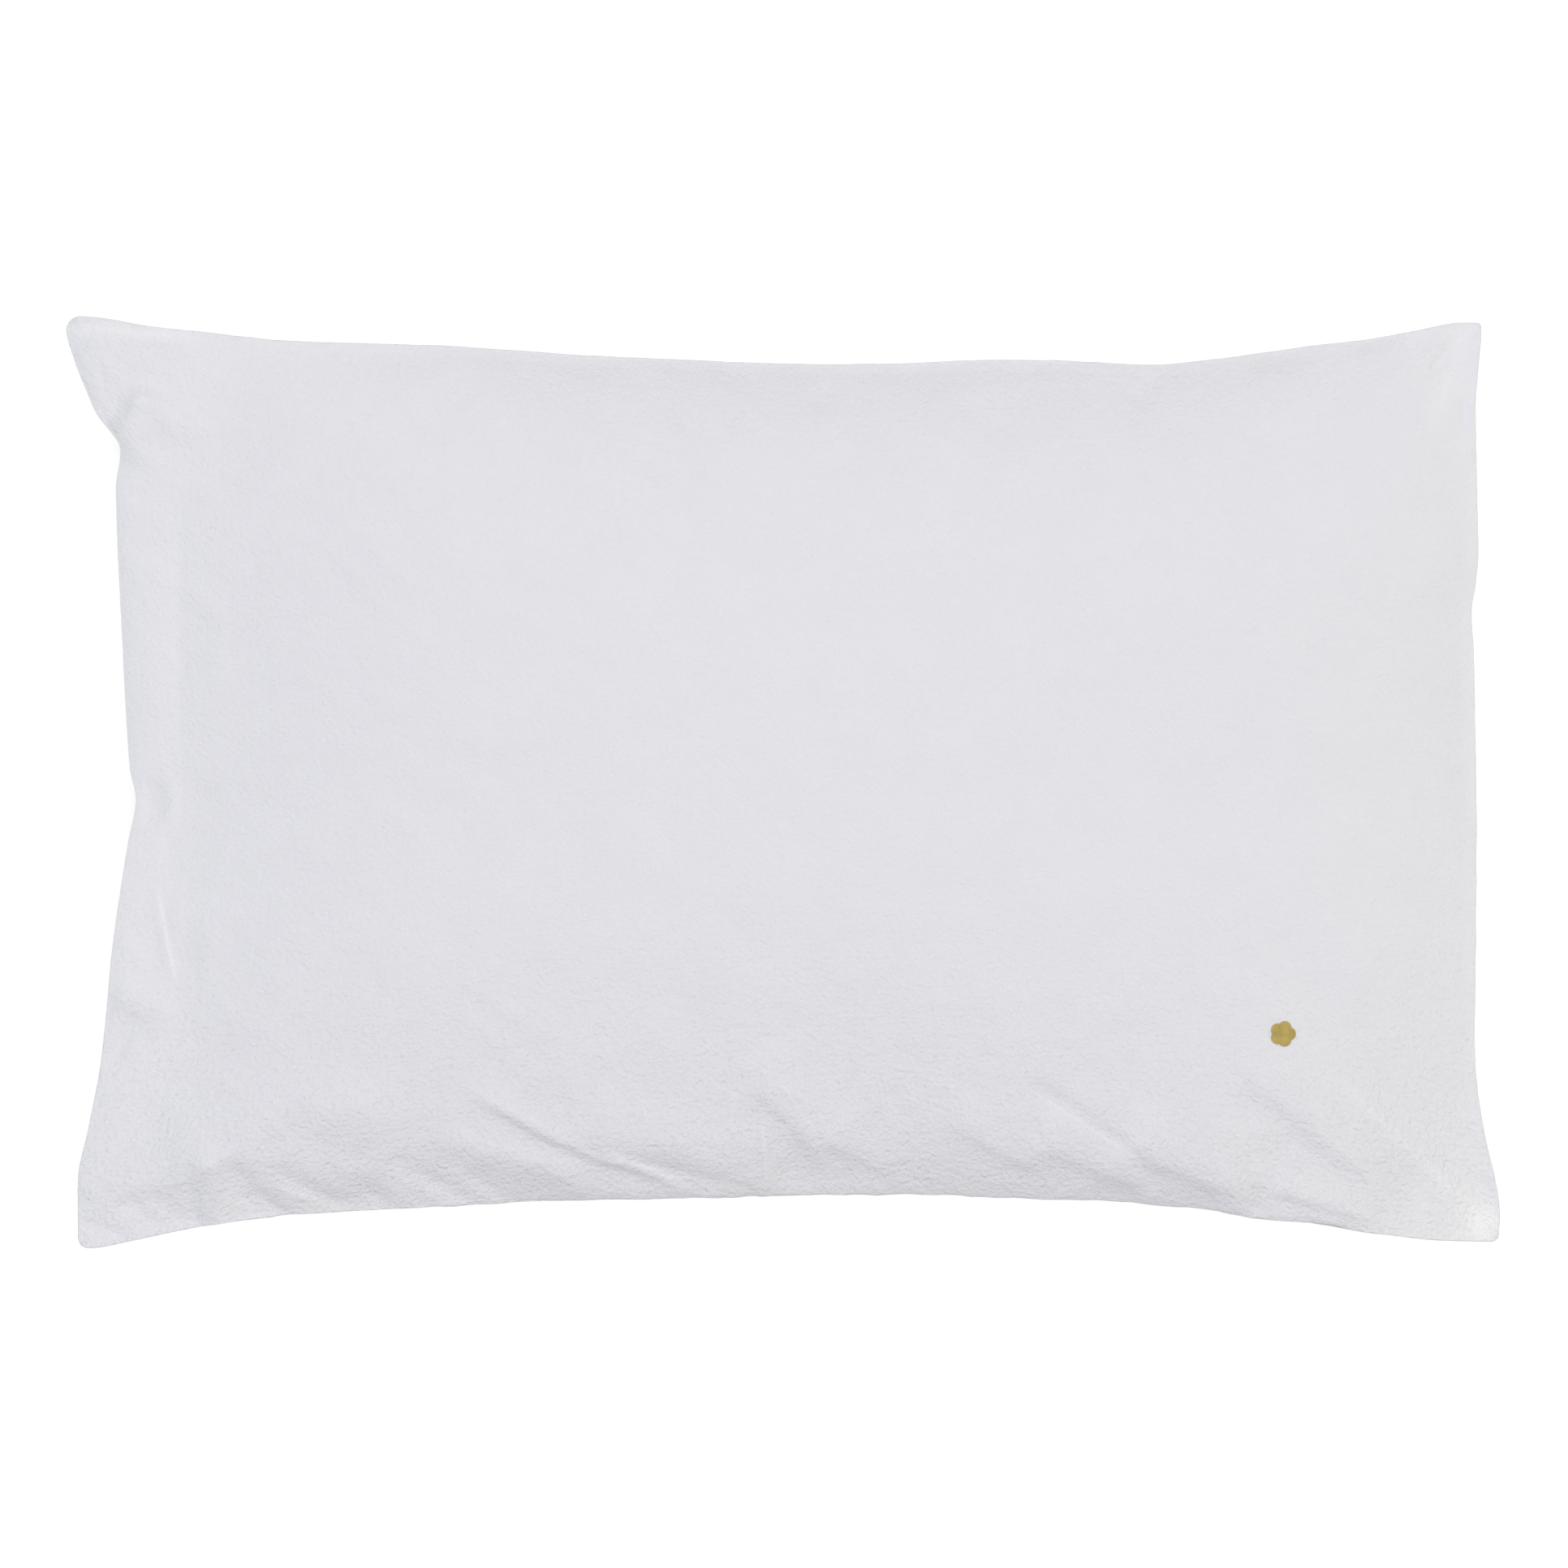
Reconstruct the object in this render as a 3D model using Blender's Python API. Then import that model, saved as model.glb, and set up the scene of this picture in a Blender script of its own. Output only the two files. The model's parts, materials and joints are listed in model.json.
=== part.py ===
"""A white cotton pillowcase with a pillow in it, lying on its back.

+Z is up and is the way the face looks. +X runs along the case, from the opening end to the sewn end, and
+Y runs across it. The origin is on the surface that it rests on, under the middle of the outline.

Each panel of the case is a grid. Its plan is filled in between the four sides, which the filling draws in
between the corners, and its height is the fullness of the pillow with the folds of the cloth laid over it.
"""

import math
from typing import NamedTuple

import bmesh
import bpy
from mathutils import Vector
from mathutils.bvhtree import BVHTree

MM = 0.001

# Corners of the outline, in millimetres: a 750 x 500 mm case, filled.
CORNERS = {
    "opening_low": (-372.0, -247.3),
    "opening_high": (-378.4, 246.8),
    "sewn_low": (379.7, -243.4),
    "sewn_high": (370.7, 242.5),
}
# How round each corner is. The two at the opening end are folded over and softer than the two sewn ones.
CORNER_RADIUS = {"opening_low": 6.0, "opening_high": 8.0, "sewn_low": 3.0, "sewn_high": 1.5}

# Heights, in millimetres.
FRONT_CROWN = 63.0  # the face's rise from the seam's level to its crown
BACK_CROWN = 74.0  # the back's fall from there, before the surface below flattens it
SEAM_LEVEL = 60.0  # the side seams, half way along a side
CORNER_DROOP = 24.0  # how far the corners hang below that level
HEM_DROOP = 9.0  # how far the empty edge at the opening hangs
HEM_REACH = 0.09  # share of the length over which it hangs
EDGE_THICKNESS = 3.0  # two folded layers of cloth
CONTACT_SOFTNESS = 6.0  # how gently the back rolls into its flat
CONTACT_SETTLE = 1.0  # how far it has settled there, which gives the flat a clear edge
# The fullness across the case is that of an ellipse, a little squarer. It is steep at the seams for a low
# steepness: the back bulges out from them, and the face leaves them at about 45 degrees.
SQUARENESS = 2.6
FRONT_STEEPNESS = 0.82
BACK_STEEPNESS = 0.55
OPENING_SOFTNESS = 0.3  # how much more gently the pillow's end rises inside the opening
OPENING_EASE = 0.03  # share of the length over which the empty edge turns up into the fullness
FILLED_FROM = 0.25  # the fullness from which the filling holds the face and the back apart
# How far in from each corner the filling thins out, in millimetres.
CORNER_SLACK = {"opening_low": 45.0, "opening_high": 45.0, "sewn_low": 60.0, "sewn_high": 40.0}

# Panel cells. They are closer together towards the seams, where the folds are.
CELLS_ALONG = 60
CELLS_ACROSS = 44
CROWDING = 0.62


class Inset(NamedTuple):
    """How far a side is drawn in at one place."""

    share: float  # of the way along the side
    depth: float  # millimetres in from the straight line between its corners


class Fold(NamedTuple):
    """A soft ridge, or a trough where the height is negative, along a bent line. Millimetres."""

    start: tuple
    bend: tuple
    end: tuple
    width: float
    height: float


class Swell(NamedTuple):
    """A low rise or dent in the filling. Millimetres."""

    centre: tuple
    radius: float
    height: float


# The side at +Y, from the opening end to the sewn end.
HIGH_SIDE = (
    Inset(0.0, 0.0), Inset(0.028, 2.0), Inset(0.056, 5.8), Inset(0.102, 9.5), Inset(0.154, 13.5),
    Inset(0.269, 16.0), Inset(0.355, 20.0), Inset(0.441, 23.0), Inset(0.527, 24.8), Inset(0.584, 24.2),
    Inset(0.642, 22.2), Inset(0.699, 21.9), Inset(0.768, 23.8), Inset(0.814, 20.6), Inset(0.871, 14.3),
    Inset(0.923, 8.9), Inset(0.958, 4.0), Inset(0.98, 0.5), Inset(1.0, 0.0),
)
# The side at -Y, from the opening end to the sewn end.
LOW_SIDE = (
    Inset(0.0, 0.0), Inset(0.016, 1.2), Inset(0.036, 4.2), Inset(0.07, 9.6), Inset(0.116, 15.5),
    Inset(0.173, 19.1), Inset(0.288, 23.4), Inset(0.345, 25.3), Inset(0.431, 26.3), Inset(0.545, 28.4),
    Inset(0.631, 27.2), Inset(0.717, 26.5), Inset(0.745, 24.2), Inset(0.803, 19.7), Inset(0.86, 12.6),
    Inset(0.9, 7.3), Inset(0.951, 1.9), Inset(1.0, 0.0),
)
# The opening end, from -Y to +Y, with a notch half way and the ear of the corner at +Y.
OPENING_END = (
    Inset(0.0, 0.0), Inset(0.081, 0.9), Inset(0.12, 5.5), Inset(0.19, 12.8), Inset(0.259, 17.2),
    Inset(0.329, 21.0), Inset(0.433, 29.5), Inset(0.481, 34.1), Inset(0.516, 31.0), Inset(0.642, 28.2),
    Inset(0.816, 25.5), Inset(0.847, 27.8), Inset(0.864, 27.1), Inset(0.895, 15.7), Inset(0.921, 10.2),
    Inset(0.956, 3.6), Inset(0.982, 0.0), Inset(1.0, 0.0),
)
# The sewn end, from -Y to +Y.
SEWN_END = (
    Inset(0.0, 0.0), Inset(0.035, -0.7), Inset(0.07, 1.9), Inset(0.114, 6.7), Inset(0.167, 10.5),
    Inset(0.203, 11.5), Inset(0.468, 8.3), Inset(0.645, 8.0), Inset(0.689, 8.8), Inset(0.716, 6.5),
    Inset(0.751, 4.8), Inset(0.911, 4.3), Inset(0.946, 2.6), Inset(0.981, 0.6), Inset(1.0, 0.0),
)
# The width of the empty edge at the opening, from -Y to +Y: share of the end, and millimetres.
EMPTY_EDGE = (
    Inset(0.0, 30.0), Inset(0.1, 26.0), Inset(0.25, 22.0), Inset(0.5, 20.0), Inset(0.75, 26.0),
    Inset(0.87, 30.0), Inset(1.0, 44.0),
)

# The main folds of the face.
FOLDS = (
    # long folds that run down towards the side at -Y
    Fold((-168, -163), (-126, -196), (-62, -207), 8, -3.0),
    Fold((-160, -158), (-112, -188), (-48, -204), 9, 2.5),
    Fold((-20, -162), (-2, -188), (18, -210), 11, -3.5),
    Fold((4, -157), (16, -182), (36, -204), 11, 2.5),
    Fold((80, -178), (106, -194), (134, -209), 9, -2.5),
    Fold((136, -162), (162, -184), (190, -200), 8, 2.0),
    Fold((140, -192), (170, -212), (205, -217), 8, -2.5),
    Fold((186, -202), (216, -214), (262, -226), 9, -2.5),
    Fold((246, -152), (280, -190), (314, -218), 12, -3.5),
    Fold((262, -30), (300, -100), (360, -210), 15, 2.5),
    Fold((298, -146), (336, -198), (374, -234), 10, 2.0),
    # shoulder and puckers by the low corner at the opening
    Fold((-370, -216), (-316, -210), (-222, -176), 12, 3.5),
    Fold((-352, -224), (-300, -222), (-240, -206), 9, -3.0),
    Fold((-295, -202), (-278, -216), (-260, -228), 7, -2.5),
    Fold((-258, -203), (-246, -214), (-226, -221), 7, -2.0),
    Fold((-340, -122), (-348, -136), (-354, -152), 7, -2.5),
    Fold((-319, -74), (-315, -88), (-309, -104), 9, -2.5),
    # edge of the filling beside the opening, and the dent at its notch
    Fold((-319, 168), (-318, 80), (-317, -8), 8, -1.5),
    Fold((-298, 170), (-301, 60), (-306, -50), 16, 1.5),
    Fold((-335, 3), (-332, -10), (-333, -24), 8, -2.5),
    # pocket behind the ear of the high corner
    Fold((-359, 189), (-351, 194), (-342, 202), 8, -3.0),
    Fold((-374, 240), (-340, 238), (-296, 232), 7, 1.5),
    # streaks by the high corner at the sewn end
    Fold((370, 234), (348, 200), (310, 152), 9, 2.5),
    Fold((367, 234), (363, 222), (359, 210), 7, -1.5),
    # slack along the side at +Y
    Fold((20, 211), (22, 204), (16, 194), 9, -1.5),
    Fold((198, 216), (193, 207), (184, 198), 9, -1.5),
    Fold((262, 221), (262, 214), (268, 204), 9, -1.5),
)

# Unevenness of the filling, on the face.
SWELLS = (
    Swell((-160, 60), 120, 3.0), Swell((60, -30), 110, 2.0), Swell((210, 90), 110, 2.5),
    Swell((34, 100), 60, -2.5), Swell((165, 32), 70, -2.5), Swell((-138, -52), 80, -2.5),
    Swell((-60, 150), 80, 1.5), Swell((290, 20), 70, -2.0), Swell((-240, -80), 80, 2.0),
    Swell((120, -120), 80, 2.0),
)

# The embroidered blossom, in millimetres.
BLOSSOM_CENTRE = (264.7, -133.1)
BLOSSOM_RADIUS = 6.9
BLOSSOM_PETALS = 5
PETAL_NOTCH = 0.26  # how far the outline dips between petals, as a share of the radius
PETAL_ROUNDNESS = 0.6  # rounder petals with narrower notches for a lower power
BLOSSOM_THICKNESS = 0.9
BLOSSOM_GAP = 0.3
BLOSSOM_SIDES = 60
RAY_HEIGHT = 400.0

FOLD_STEPS = 12
FOLD_START = 0.12  # where along its half wave a fold starts, so that its ends are faint but there
SLOPE_STEP = 0.004
UP = Vector((0.0, 0.0, 1.0))

CLOTH_COLOUR = (0.78, 0.76, 0.80, 1.0)
THREAD_COLOUR = (0.55, 0.42, 0.14, 1.0)


def clear_scene():
    """Removes what the open file shows, such as the default cube."""
    for obj in list(bpy.data.objects):
        bpy.data.objects.remove(obj, do_unlink=True)


def make_material(name, colour, roughness, metallic):
    """A plain surface of one colour."""
    material = bpy.data.materials.new(name)
    material.use_nodes = True
    shader = material.node_tree.nodes["Principled BSDF"]
    shader.inputs["Base Color"].default_value = colour
    shader.inputs["Roughness"].default_value = roughness
    shader.inputs["Metallic"].default_value = metallic
    return material


def mix(a, b, share):
    return a + (b - a) * share


def smooth(value, low, high):
    """0 below low, 1 above high and a smooth rise between."""
    share = min(1.0, max(0.0, (value - low) / (high - low)))
    return share * share * (3.0 - 2.0 * share)


def read_side(side, share):
    """The depth at a share of the way along a side, on a smooth curve through the side's rows."""
    last = len(side) - 1
    i = next((k for k in range(last) if share <= side[k + 1].share), last - 1)
    a, b = side[i], side[i + 1]
    before, after = side[max(0, i - 1)], side[min(last, i + 2)]
    span = b.share - a.share
    slope_a = (b.depth - before.depth) / (b.share - before.share) * span
    slope_b = (after.depth - a.depth) / (after.share - a.share) * span
    t = (share - a.share) / span
    return (
        (2 * t**3 - 3 * t**2 + 1) * a.depth
        + (t**3 - 2 * t**2 + t) * slope_a
        + (3 * t**2 - 2 * t**3) * b.depth
        + (t**3 - t**2) * slope_b
    )


def crowded(share):
    """A share from 0 to 1 with its steps drawn together towards both ends."""
    return mix(share, 0.5 - 0.5 * math.cos(math.pi * share), CROWDING)


def side_point(start, end, depth, share, inward):
    """A point of a side: the straight line between its corners, drawn in by a depth."""
    x = mix(start[0], end[0], share) + inward[0] * depth
    y = mix(start[1], end[1], share) + inward[1] * depth
    return Vector((x, y))


def round_corner(point, corner, inward, radius):
    """Moves a point near a corner on to the round of its radius."""
    across = (corner[0] + inward[0] * radius - point.x) * inward[0]
    along = (corner[1] + inward[1] * radius - point.y) * inward[1]
    if across <= 0.0 or along <= 0.0:
        return point
    scale = max(across, along) / math.hypot(across, along)
    return Vector((
        corner[0] + inward[0] * (radius - across * scale),
        corner[1] + inward[1] * (radius - along * scale),
    ))


def plan(u, v):
    """Where the share u along and v across the case lies, seen from above. Millimetres."""
    ol, oh = CORNERS["opening_low"], CORNERS["opening_high"]
    sl, sh = CORNERS["sewn_low"], CORNERS["sewn_high"]
    low = side_point(ol, sl, read_side(LOW_SIDE, u), u, (0, 1))
    high = side_point(oh, sh, read_side(HIGH_SIDE, u), u, (0, -1))
    opening = side_point(ol, oh, read_side(OPENING_END, v), v, (1, 0))
    sewn = side_point(sl, sh, read_side(SEWN_END, v), v, (-1, 0))
    corners = mix(mix(Vector(ol), Vector(sl), u), mix(Vector(oh), Vector(sh), u), v)
    point = mix(low, high, v) + mix(opening, sewn, u) - corners
    for name, inward in (
        ("opening_low", (1, 1)), ("opening_high", (1, -1)), ("sewn_low", (-1, 1)), ("sewn_high", (-1, -1)),
    ):
        point = round_corner(point, CORNERS[name], inward, CORNER_RADIUS[name])
    return point


def bulge(share, steepness):
    """The fullness at a share of the way across: 0 at both ends and 1 in the middle."""
    reach = abs(2.0 * share - 1.0)
    return max(0.0, 1.0 - reach**SQUARENESS) ** steepness


def corner_fullness(point):
    """How much of the filling reaches a point of the plan: little of it near a corner."""
    share = 1.0
    for name, slack in CORNER_SLACK.items():
        away = (point - Vector(CORNERS[name])).length / slack
        share *= 1.0 - math.exp(-away * away)
    return share


def fullness(u, v, steepness):
    """How full the case is, from 0 at the seams to 1 at the crown."""
    length = CORNERS["sewn_low"][0] - CORNERS["opening_low"][0]
    start = read_side(EMPTY_EDGE, v) / length
    along = min(1.0, max(0.0, (u - start) / (1.0 - start)))
    ease = OPENING_EASE
    along = along**2 / (2.0 * ease) if along < ease else mix(ease / 2.0, 1.0, (along - ease) / (1.0 - ease))
    softer = steepness + OPENING_SOFTNESS * (1.0 - smooth(along, 0.0, 0.5))
    return bulge(along, softer) * bulge(v, steepness) * corner_fullness(plan(u, v))


def filled_share(u, v):
    """1 where the filling parts the face from the back, 0 where they lie on each other."""
    return smooth(fullness(u, v, BACK_STEEPNESS), 0.0, FILLED_FROM)


def seam_level(u, v):
    """The height of the seams' level: lower at the corners, and at the empty edge of the opening."""
    a, b = abs(2.0 * u - 1.0), abs(2.0 * v - 1.0)
    hem = HEM_DROOP * (1.0 - smooth(u, 0.0, HEM_REACH)) * (1.0 - b**4)
    return SEAM_LEVEL - CORNER_DROOP * a**3 * b**3 - hem


def curve_point(fold, share):
    """A point of a fold's line, which is pulled towards its bend."""
    return mix(
        mix(Vector(fold.start), Vector(fold.bend), share),
        mix(Vector(fold.bend), Vector(fold.end), share),
        share,
    )


def fold_height(point, fold, line):
    """How far a fold lifts the cloth at a point of the plan. It fades out towards both ends."""
    best, where = min(((point - p).length, k) for k, p in enumerate(line))
    if best > 3.0 * fold.width:
        return 0.0
    fade = math.sin(math.pi * mix(FOLD_START, 1.0 - FOLD_START, where / FOLD_STEPS))
    return fold.height * fade * math.exp(-((best / fold.width) ** 2))


FOLD_LINES = tuple(
    (fold, tuple(curve_point(fold, k / FOLD_STEPS) for k in range(FOLD_STEPS + 1))) for fold in FOLDS
)


def relief(point):
    """All the folds and swells of the face at a point of the plan."""
    lift = sum(fold_height(point, fold, line) for fold, line in FOLD_LINES)
    for swell in SWELLS:
        reach = (point - Vector(swell.centre)).length / swell.radius
        lift += swell.height * math.exp(-reach * reach)
    return lift


def rest_flat(height):
    """Rolls what would go below the surface into a flat on it, with a clear edge to the flat."""
    if height >= CONTACT_SOFTNESS:
        return height
    if height <= -CONTACT_SOFTNESS:
        return 0.0
    rolled = (height + CONTACT_SOFTNESS) ** 2 / (4.0 * CONTACT_SOFTNESS)
    return max(0.0, mix(-CONTACT_SETTLE, CONTACT_SOFTNESS, rolled / CONTACT_SOFTNESS))


def front_base(u, v):
    """A point of the face before its folds."""
    point = plan(u, v)
    height = seam_level(u, v) + EDGE_THICKNESS / 2 + FRONT_CROWN * fullness(u, v, FRONT_STEEPNESS)
    return Vector((point.x, point.y, height))


def front_point(u, v):
    """A point of the face: the full form, moved by the folds, along its normal where it is filled."""
    base = front_base(u, v)
    lift = relief(base.xy)
    if not lift:
        return base
    u_side = SLOPE_STEP if u < 0.5 else -SLOPE_STEP
    v_side = SLOPE_STEP if v < 0.5 else -SLOPE_STEP
    normal = (front_base(u + u_side, v) - base).cross(front_base(u, v + v_side) - base)
    normal.normalize()
    if normal.z < 0.0:
        normal.negate()
    return base + UP.lerp(normal, filled_share(u, v)) * lift


def back_point(u, v):
    """A point of the back: flat where it rests. Where the case is empty, the face's folds take it along."""
    point = plan(u, v)
    height = seam_level(u, v) - EDGE_THICKNESS / 2 - BACK_CROWN * fullness(u, v, BACK_STEEPNESS)
    lift = relief(point) * (1.0 - filled_share(u, v))
    return Vector((point.x, point.y, rest_flat(height + lift)))


def add_panel(mesh, surface):
    """Adds a grid to the mesh and lays it on a surface. Returns the edges round it."""
    made = bmesh.ops.create_grid(
        mesh, x_segments=CELLS_ALONG, y_segments=CELLS_ACROSS, size=0.5
    )
    verts = made["verts"]
    for vert in verts:
        vert.co = surface(crowded(vert.co.x + 0.5), crowded(vert.co.y + 0.5)) * MM
    edges = {edge for vert in verts for edge in vert.link_edges}
    return [edge for edge in edges if edge.is_boundary]


def new_object(name, mesh_data, collection, material):
    """Puts a mesh into the collection as a named object of one material."""
    obj = bpy.data.objects.new(name, mesh_data)
    obj.data.materials.append(material)
    collection.objects.link(obj)
    return obj


def make_pillowcase(collection):
    """The face and the back, joined round their edge by the folded and sewn rim."""
    mesh = bmesh.new()
    rims = add_panel(mesh, front_point) + add_panel(mesh, back_point)
    bmesh.ops.bridge_loops(mesh, edges=rims)
    bmesh.ops.recalc_face_normals(mesh, faces=mesh.faces)
    data = bpy.data.meshes.new("pillowcase")
    mesh.to_mesh(data)
    mesh.free()
    data.shade_smooth()
    cotton = make_material("cotton", CLOTH_COLOUR, 0.9, 0.0)
    return new_object("pillowcase", data, collection, cotton)


def blossom_outline(angle):
    """The radius of the blossom at an angle: round petals with notches between them."""
    wave = abs(math.cos(BLOSSOM_PETALS * angle / 2.0)) ** PETAL_ROUNDNESS
    return BLOSSOM_RADIUS * (1.0 - PETAL_NOTCH * (1.0 - wave))


def make_blossom(collection, case):
    """A low pad of thread in the outline of a blossom, laid just above the face."""
    depsgraph = bpy.context.evaluated_depsgraph_get()
    face = BVHTree.FromObject(case, depsgraph)
    centre = Vector((*BLOSSOM_CENTRE, RAY_HEIGHT)) * MM
    _, normal, _, _ = face.ray_cast(centre, Vector((0, 0, -1)))

    mesh = bmesh.new()
    bmesh.ops.create_cone(
        mesh, cap_ends=True, segments=BLOSSOM_SIDES, radius1=1.0, radius2=1.0, depth=1.0
    )
    for vert in mesh.verts:
        angle = math.atan2(vert.co.y, vert.co.x)
        reach = blossom_outline(angle)
        start = centre + Vector((math.cos(angle), math.sin(angle), 0)) * reach * MM
        place, _, _, _ = face.ray_cast(start, Vector((0, 0, -1)))
        lift = BLOSSOM_GAP + (BLOSSOM_THICKNESS if vert.co.z > 0 else 0.0)
        vert.co = place + normal * lift * MM
    data = bpy.data.meshes.new("embroidered_blossom")
    mesh.to_mesh(data)
    mesh.free()
    gold = make_material("gold_thread", THREAD_COLOUR, 0.4, 0.7)
    return new_object("embroidered_blossom", data, collection, gold)


def main():
    """Makes the case, then the blossom on its face."""
    clear_scene()
    collection = bpy.data.collections.new("pillowcase")
    bpy.context.scene.collection.children.link(collection)
    case = make_pillowcase(collection)
    bpy.context.view_layer.update()
    make_blossom(collection, case)


main()
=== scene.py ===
"""The looks of a white washed cotton pillowcase with a pillow in it, lying on its back.

Lengths are in millimetres unless a name or a docstring says metres. +Z is up and is the way the face looks.
+X runs along the case from the opening end to the sewn end, and +Y runs across it.

The cloth is laid over the filled form as two panels joined by a rim. It is settled by a cloth simulation, and
the folds that the case shows are then laid into it. The seam and hem stitches and the gold thread
blossom are made by node trees that follow the finished cloth.
"""

import json
import logging
import math
from dataclasses import dataclass, field
from enum import Enum
from typing import NamedTuple

import bpy
import numpy as np
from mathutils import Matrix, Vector
from mathutils.bvhtree import BVHTree

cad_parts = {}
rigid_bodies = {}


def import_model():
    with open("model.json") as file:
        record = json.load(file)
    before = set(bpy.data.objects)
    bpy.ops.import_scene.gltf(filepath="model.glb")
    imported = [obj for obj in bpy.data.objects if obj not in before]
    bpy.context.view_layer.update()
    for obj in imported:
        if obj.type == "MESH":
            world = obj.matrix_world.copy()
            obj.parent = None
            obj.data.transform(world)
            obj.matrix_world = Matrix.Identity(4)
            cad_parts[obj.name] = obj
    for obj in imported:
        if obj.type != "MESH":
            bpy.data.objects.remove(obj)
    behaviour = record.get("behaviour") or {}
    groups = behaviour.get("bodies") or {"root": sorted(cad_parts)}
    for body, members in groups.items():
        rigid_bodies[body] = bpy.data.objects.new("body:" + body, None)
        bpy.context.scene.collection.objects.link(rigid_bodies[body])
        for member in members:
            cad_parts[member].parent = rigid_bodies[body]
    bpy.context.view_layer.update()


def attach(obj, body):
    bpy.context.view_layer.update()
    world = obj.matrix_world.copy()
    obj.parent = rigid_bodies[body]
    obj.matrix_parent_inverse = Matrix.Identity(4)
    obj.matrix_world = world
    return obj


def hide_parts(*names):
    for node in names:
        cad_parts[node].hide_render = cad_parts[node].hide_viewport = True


LOG = logging.getLogger("pillowcase")
MM = 0.001
UP = np.array((0.0, 0.0, 1.0))
CLOTH_MAP = "cloth"
CLOTH_MAP_SCALE = 0.95  # the map holds metres of flat cloth times this, so that both panels fit in one square


class Inset(NamedTuple):
    """How far a side is drawn in at one place."""

    share: float  # of the way along the side
    depth: float  # in from the straight line between its corners


# The side at +Y, from the opening end to the sewn end.
HIGH_SIDE = (
    Inset(0.0, 0.0), Inset(0.028, 2.0), Inset(0.056, 5.8), Inset(0.102, 9.5), Inset(0.154, 13.5),
    Inset(0.269, 16.0), Inset(0.355, 20.0), Inset(0.441, 23.0), Inset(0.527, 24.8), Inset(0.584, 24.2),
    Inset(0.642, 22.2), Inset(0.699, 21.9), Inset(0.768, 23.8), Inset(0.814, 20.6), Inset(0.871, 14.3),
    Inset(0.923, 8.9), Inset(0.958, 4.0), Inset(0.98, 0.5), Inset(1.0, 0.0),
)
# The side at -Y, from the opening end to the sewn end.
LOW_SIDE = (
    Inset(0.0, 0.0), Inset(0.016, 1.2), Inset(0.036, 4.2), Inset(0.07, 9.6), Inset(0.116, 15.5),
    Inset(0.173, 19.1), Inset(0.288, 23.4), Inset(0.345, 25.3), Inset(0.431, 26.3), Inset(0.545, 28.4),
    Inset(0.631, 27.2), Inset(0.717, 26.5), Inset(0.745, 24.2), Inset(0.803, 19.7), Inset(0.86, 12.6),
    Inset(0.9, 7.3), Inset(0.951, 1.9), Inset(1.0, 0.0),
)
# The opening end, from -Y to +Y, with a notch half way and the ear of the corner at +Y.
OPENING_END = (
    Inset(0.0, 0.0), Inset(0.081, 0.9), Inset(0.12, 5.5), Inset(0.19, 12.8), Inset(0.259, 17.2),
    Inset(0.329, 21.0), Inset(0.433, 29.5), Inset(0.481, 34.1), Inset(0.516, 31.0), Inset(0.642, 28.2),
    Inset(0.816, 25.5), Inset(0.847, 27.8), Inset(0.864, 27.1), Inset(0.895, 15.7), Inset(0.921, 10.2),
    Inset(0.956, 3.6), Inset(0.982, 0.0), Inset(1.0, 0.0),
)
# The sewn end, from -Y to +Y.
SEWN_END = (
    Inset(0.0, 0.0), Inset(0.035, -0.7), Inset(0.07, 1.9), Inset(0.114, 6.7), Inset(0.167, 10.5),
    Inset(0.203, 11.5), Inset(0.468, 8.3), Inset(0.645, 8.0), Inset(0.689, 8.8), Inset(0.716, 6.5),
    Inset(0.751, 4.8), Inset(0.911, 4.3), Inset(0.946, 2.6), Inset(0.981, 0.6), Inset(1.0, 0.0),
)
# The width of the empty edge at the opening, from -Y to +Y.
EMPTY_EDGE = (
    Inset(0.0, 30.0), Inset(0.1, 26.0), Inset(0.25, 22.0), Inset(0.5, 20.0), Inset(0.75, 26.0),
    Inset(0.87, 30.0), Inset(1.0, 44.0),
)


class FoldForm(Enum):
    """The cross-section of a fold."""

    RIDGE = "a soft ridge"
    TROUGH = "a trough between two raised lips"
    LAP = "a ridge that is steep on the right of its line and gentle on the left"
    PLEAT = "a round ridge that rises out of a sharp crease on the right of its line"
    CREST = "a sharp edge that falls away on the right of its line and is gentle on the left"


class Fold(NamedTuple):
    """A fold along an arc through three points, which fades towards its two ends.

    It is a dent where its height is below 0.
    """

    start: tuple[float, float]
    middle: tuple[float, float]
    end: tuple[float, float]
    width: float
    height: float
    form: FoldForm = FoldForm.RIDGE


class Swell(NamedTuple):
    """A low rise in the filling, or a dent where the height is negative."""

    centre: tuple[float, float]
    radius: float
    height: float


TROUGH, LAP, PLEAT, CREST = FoldForm.TROUGH, FoldForm.LAP, FoldForm.PLEAT, FoldForm.CREST

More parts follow.
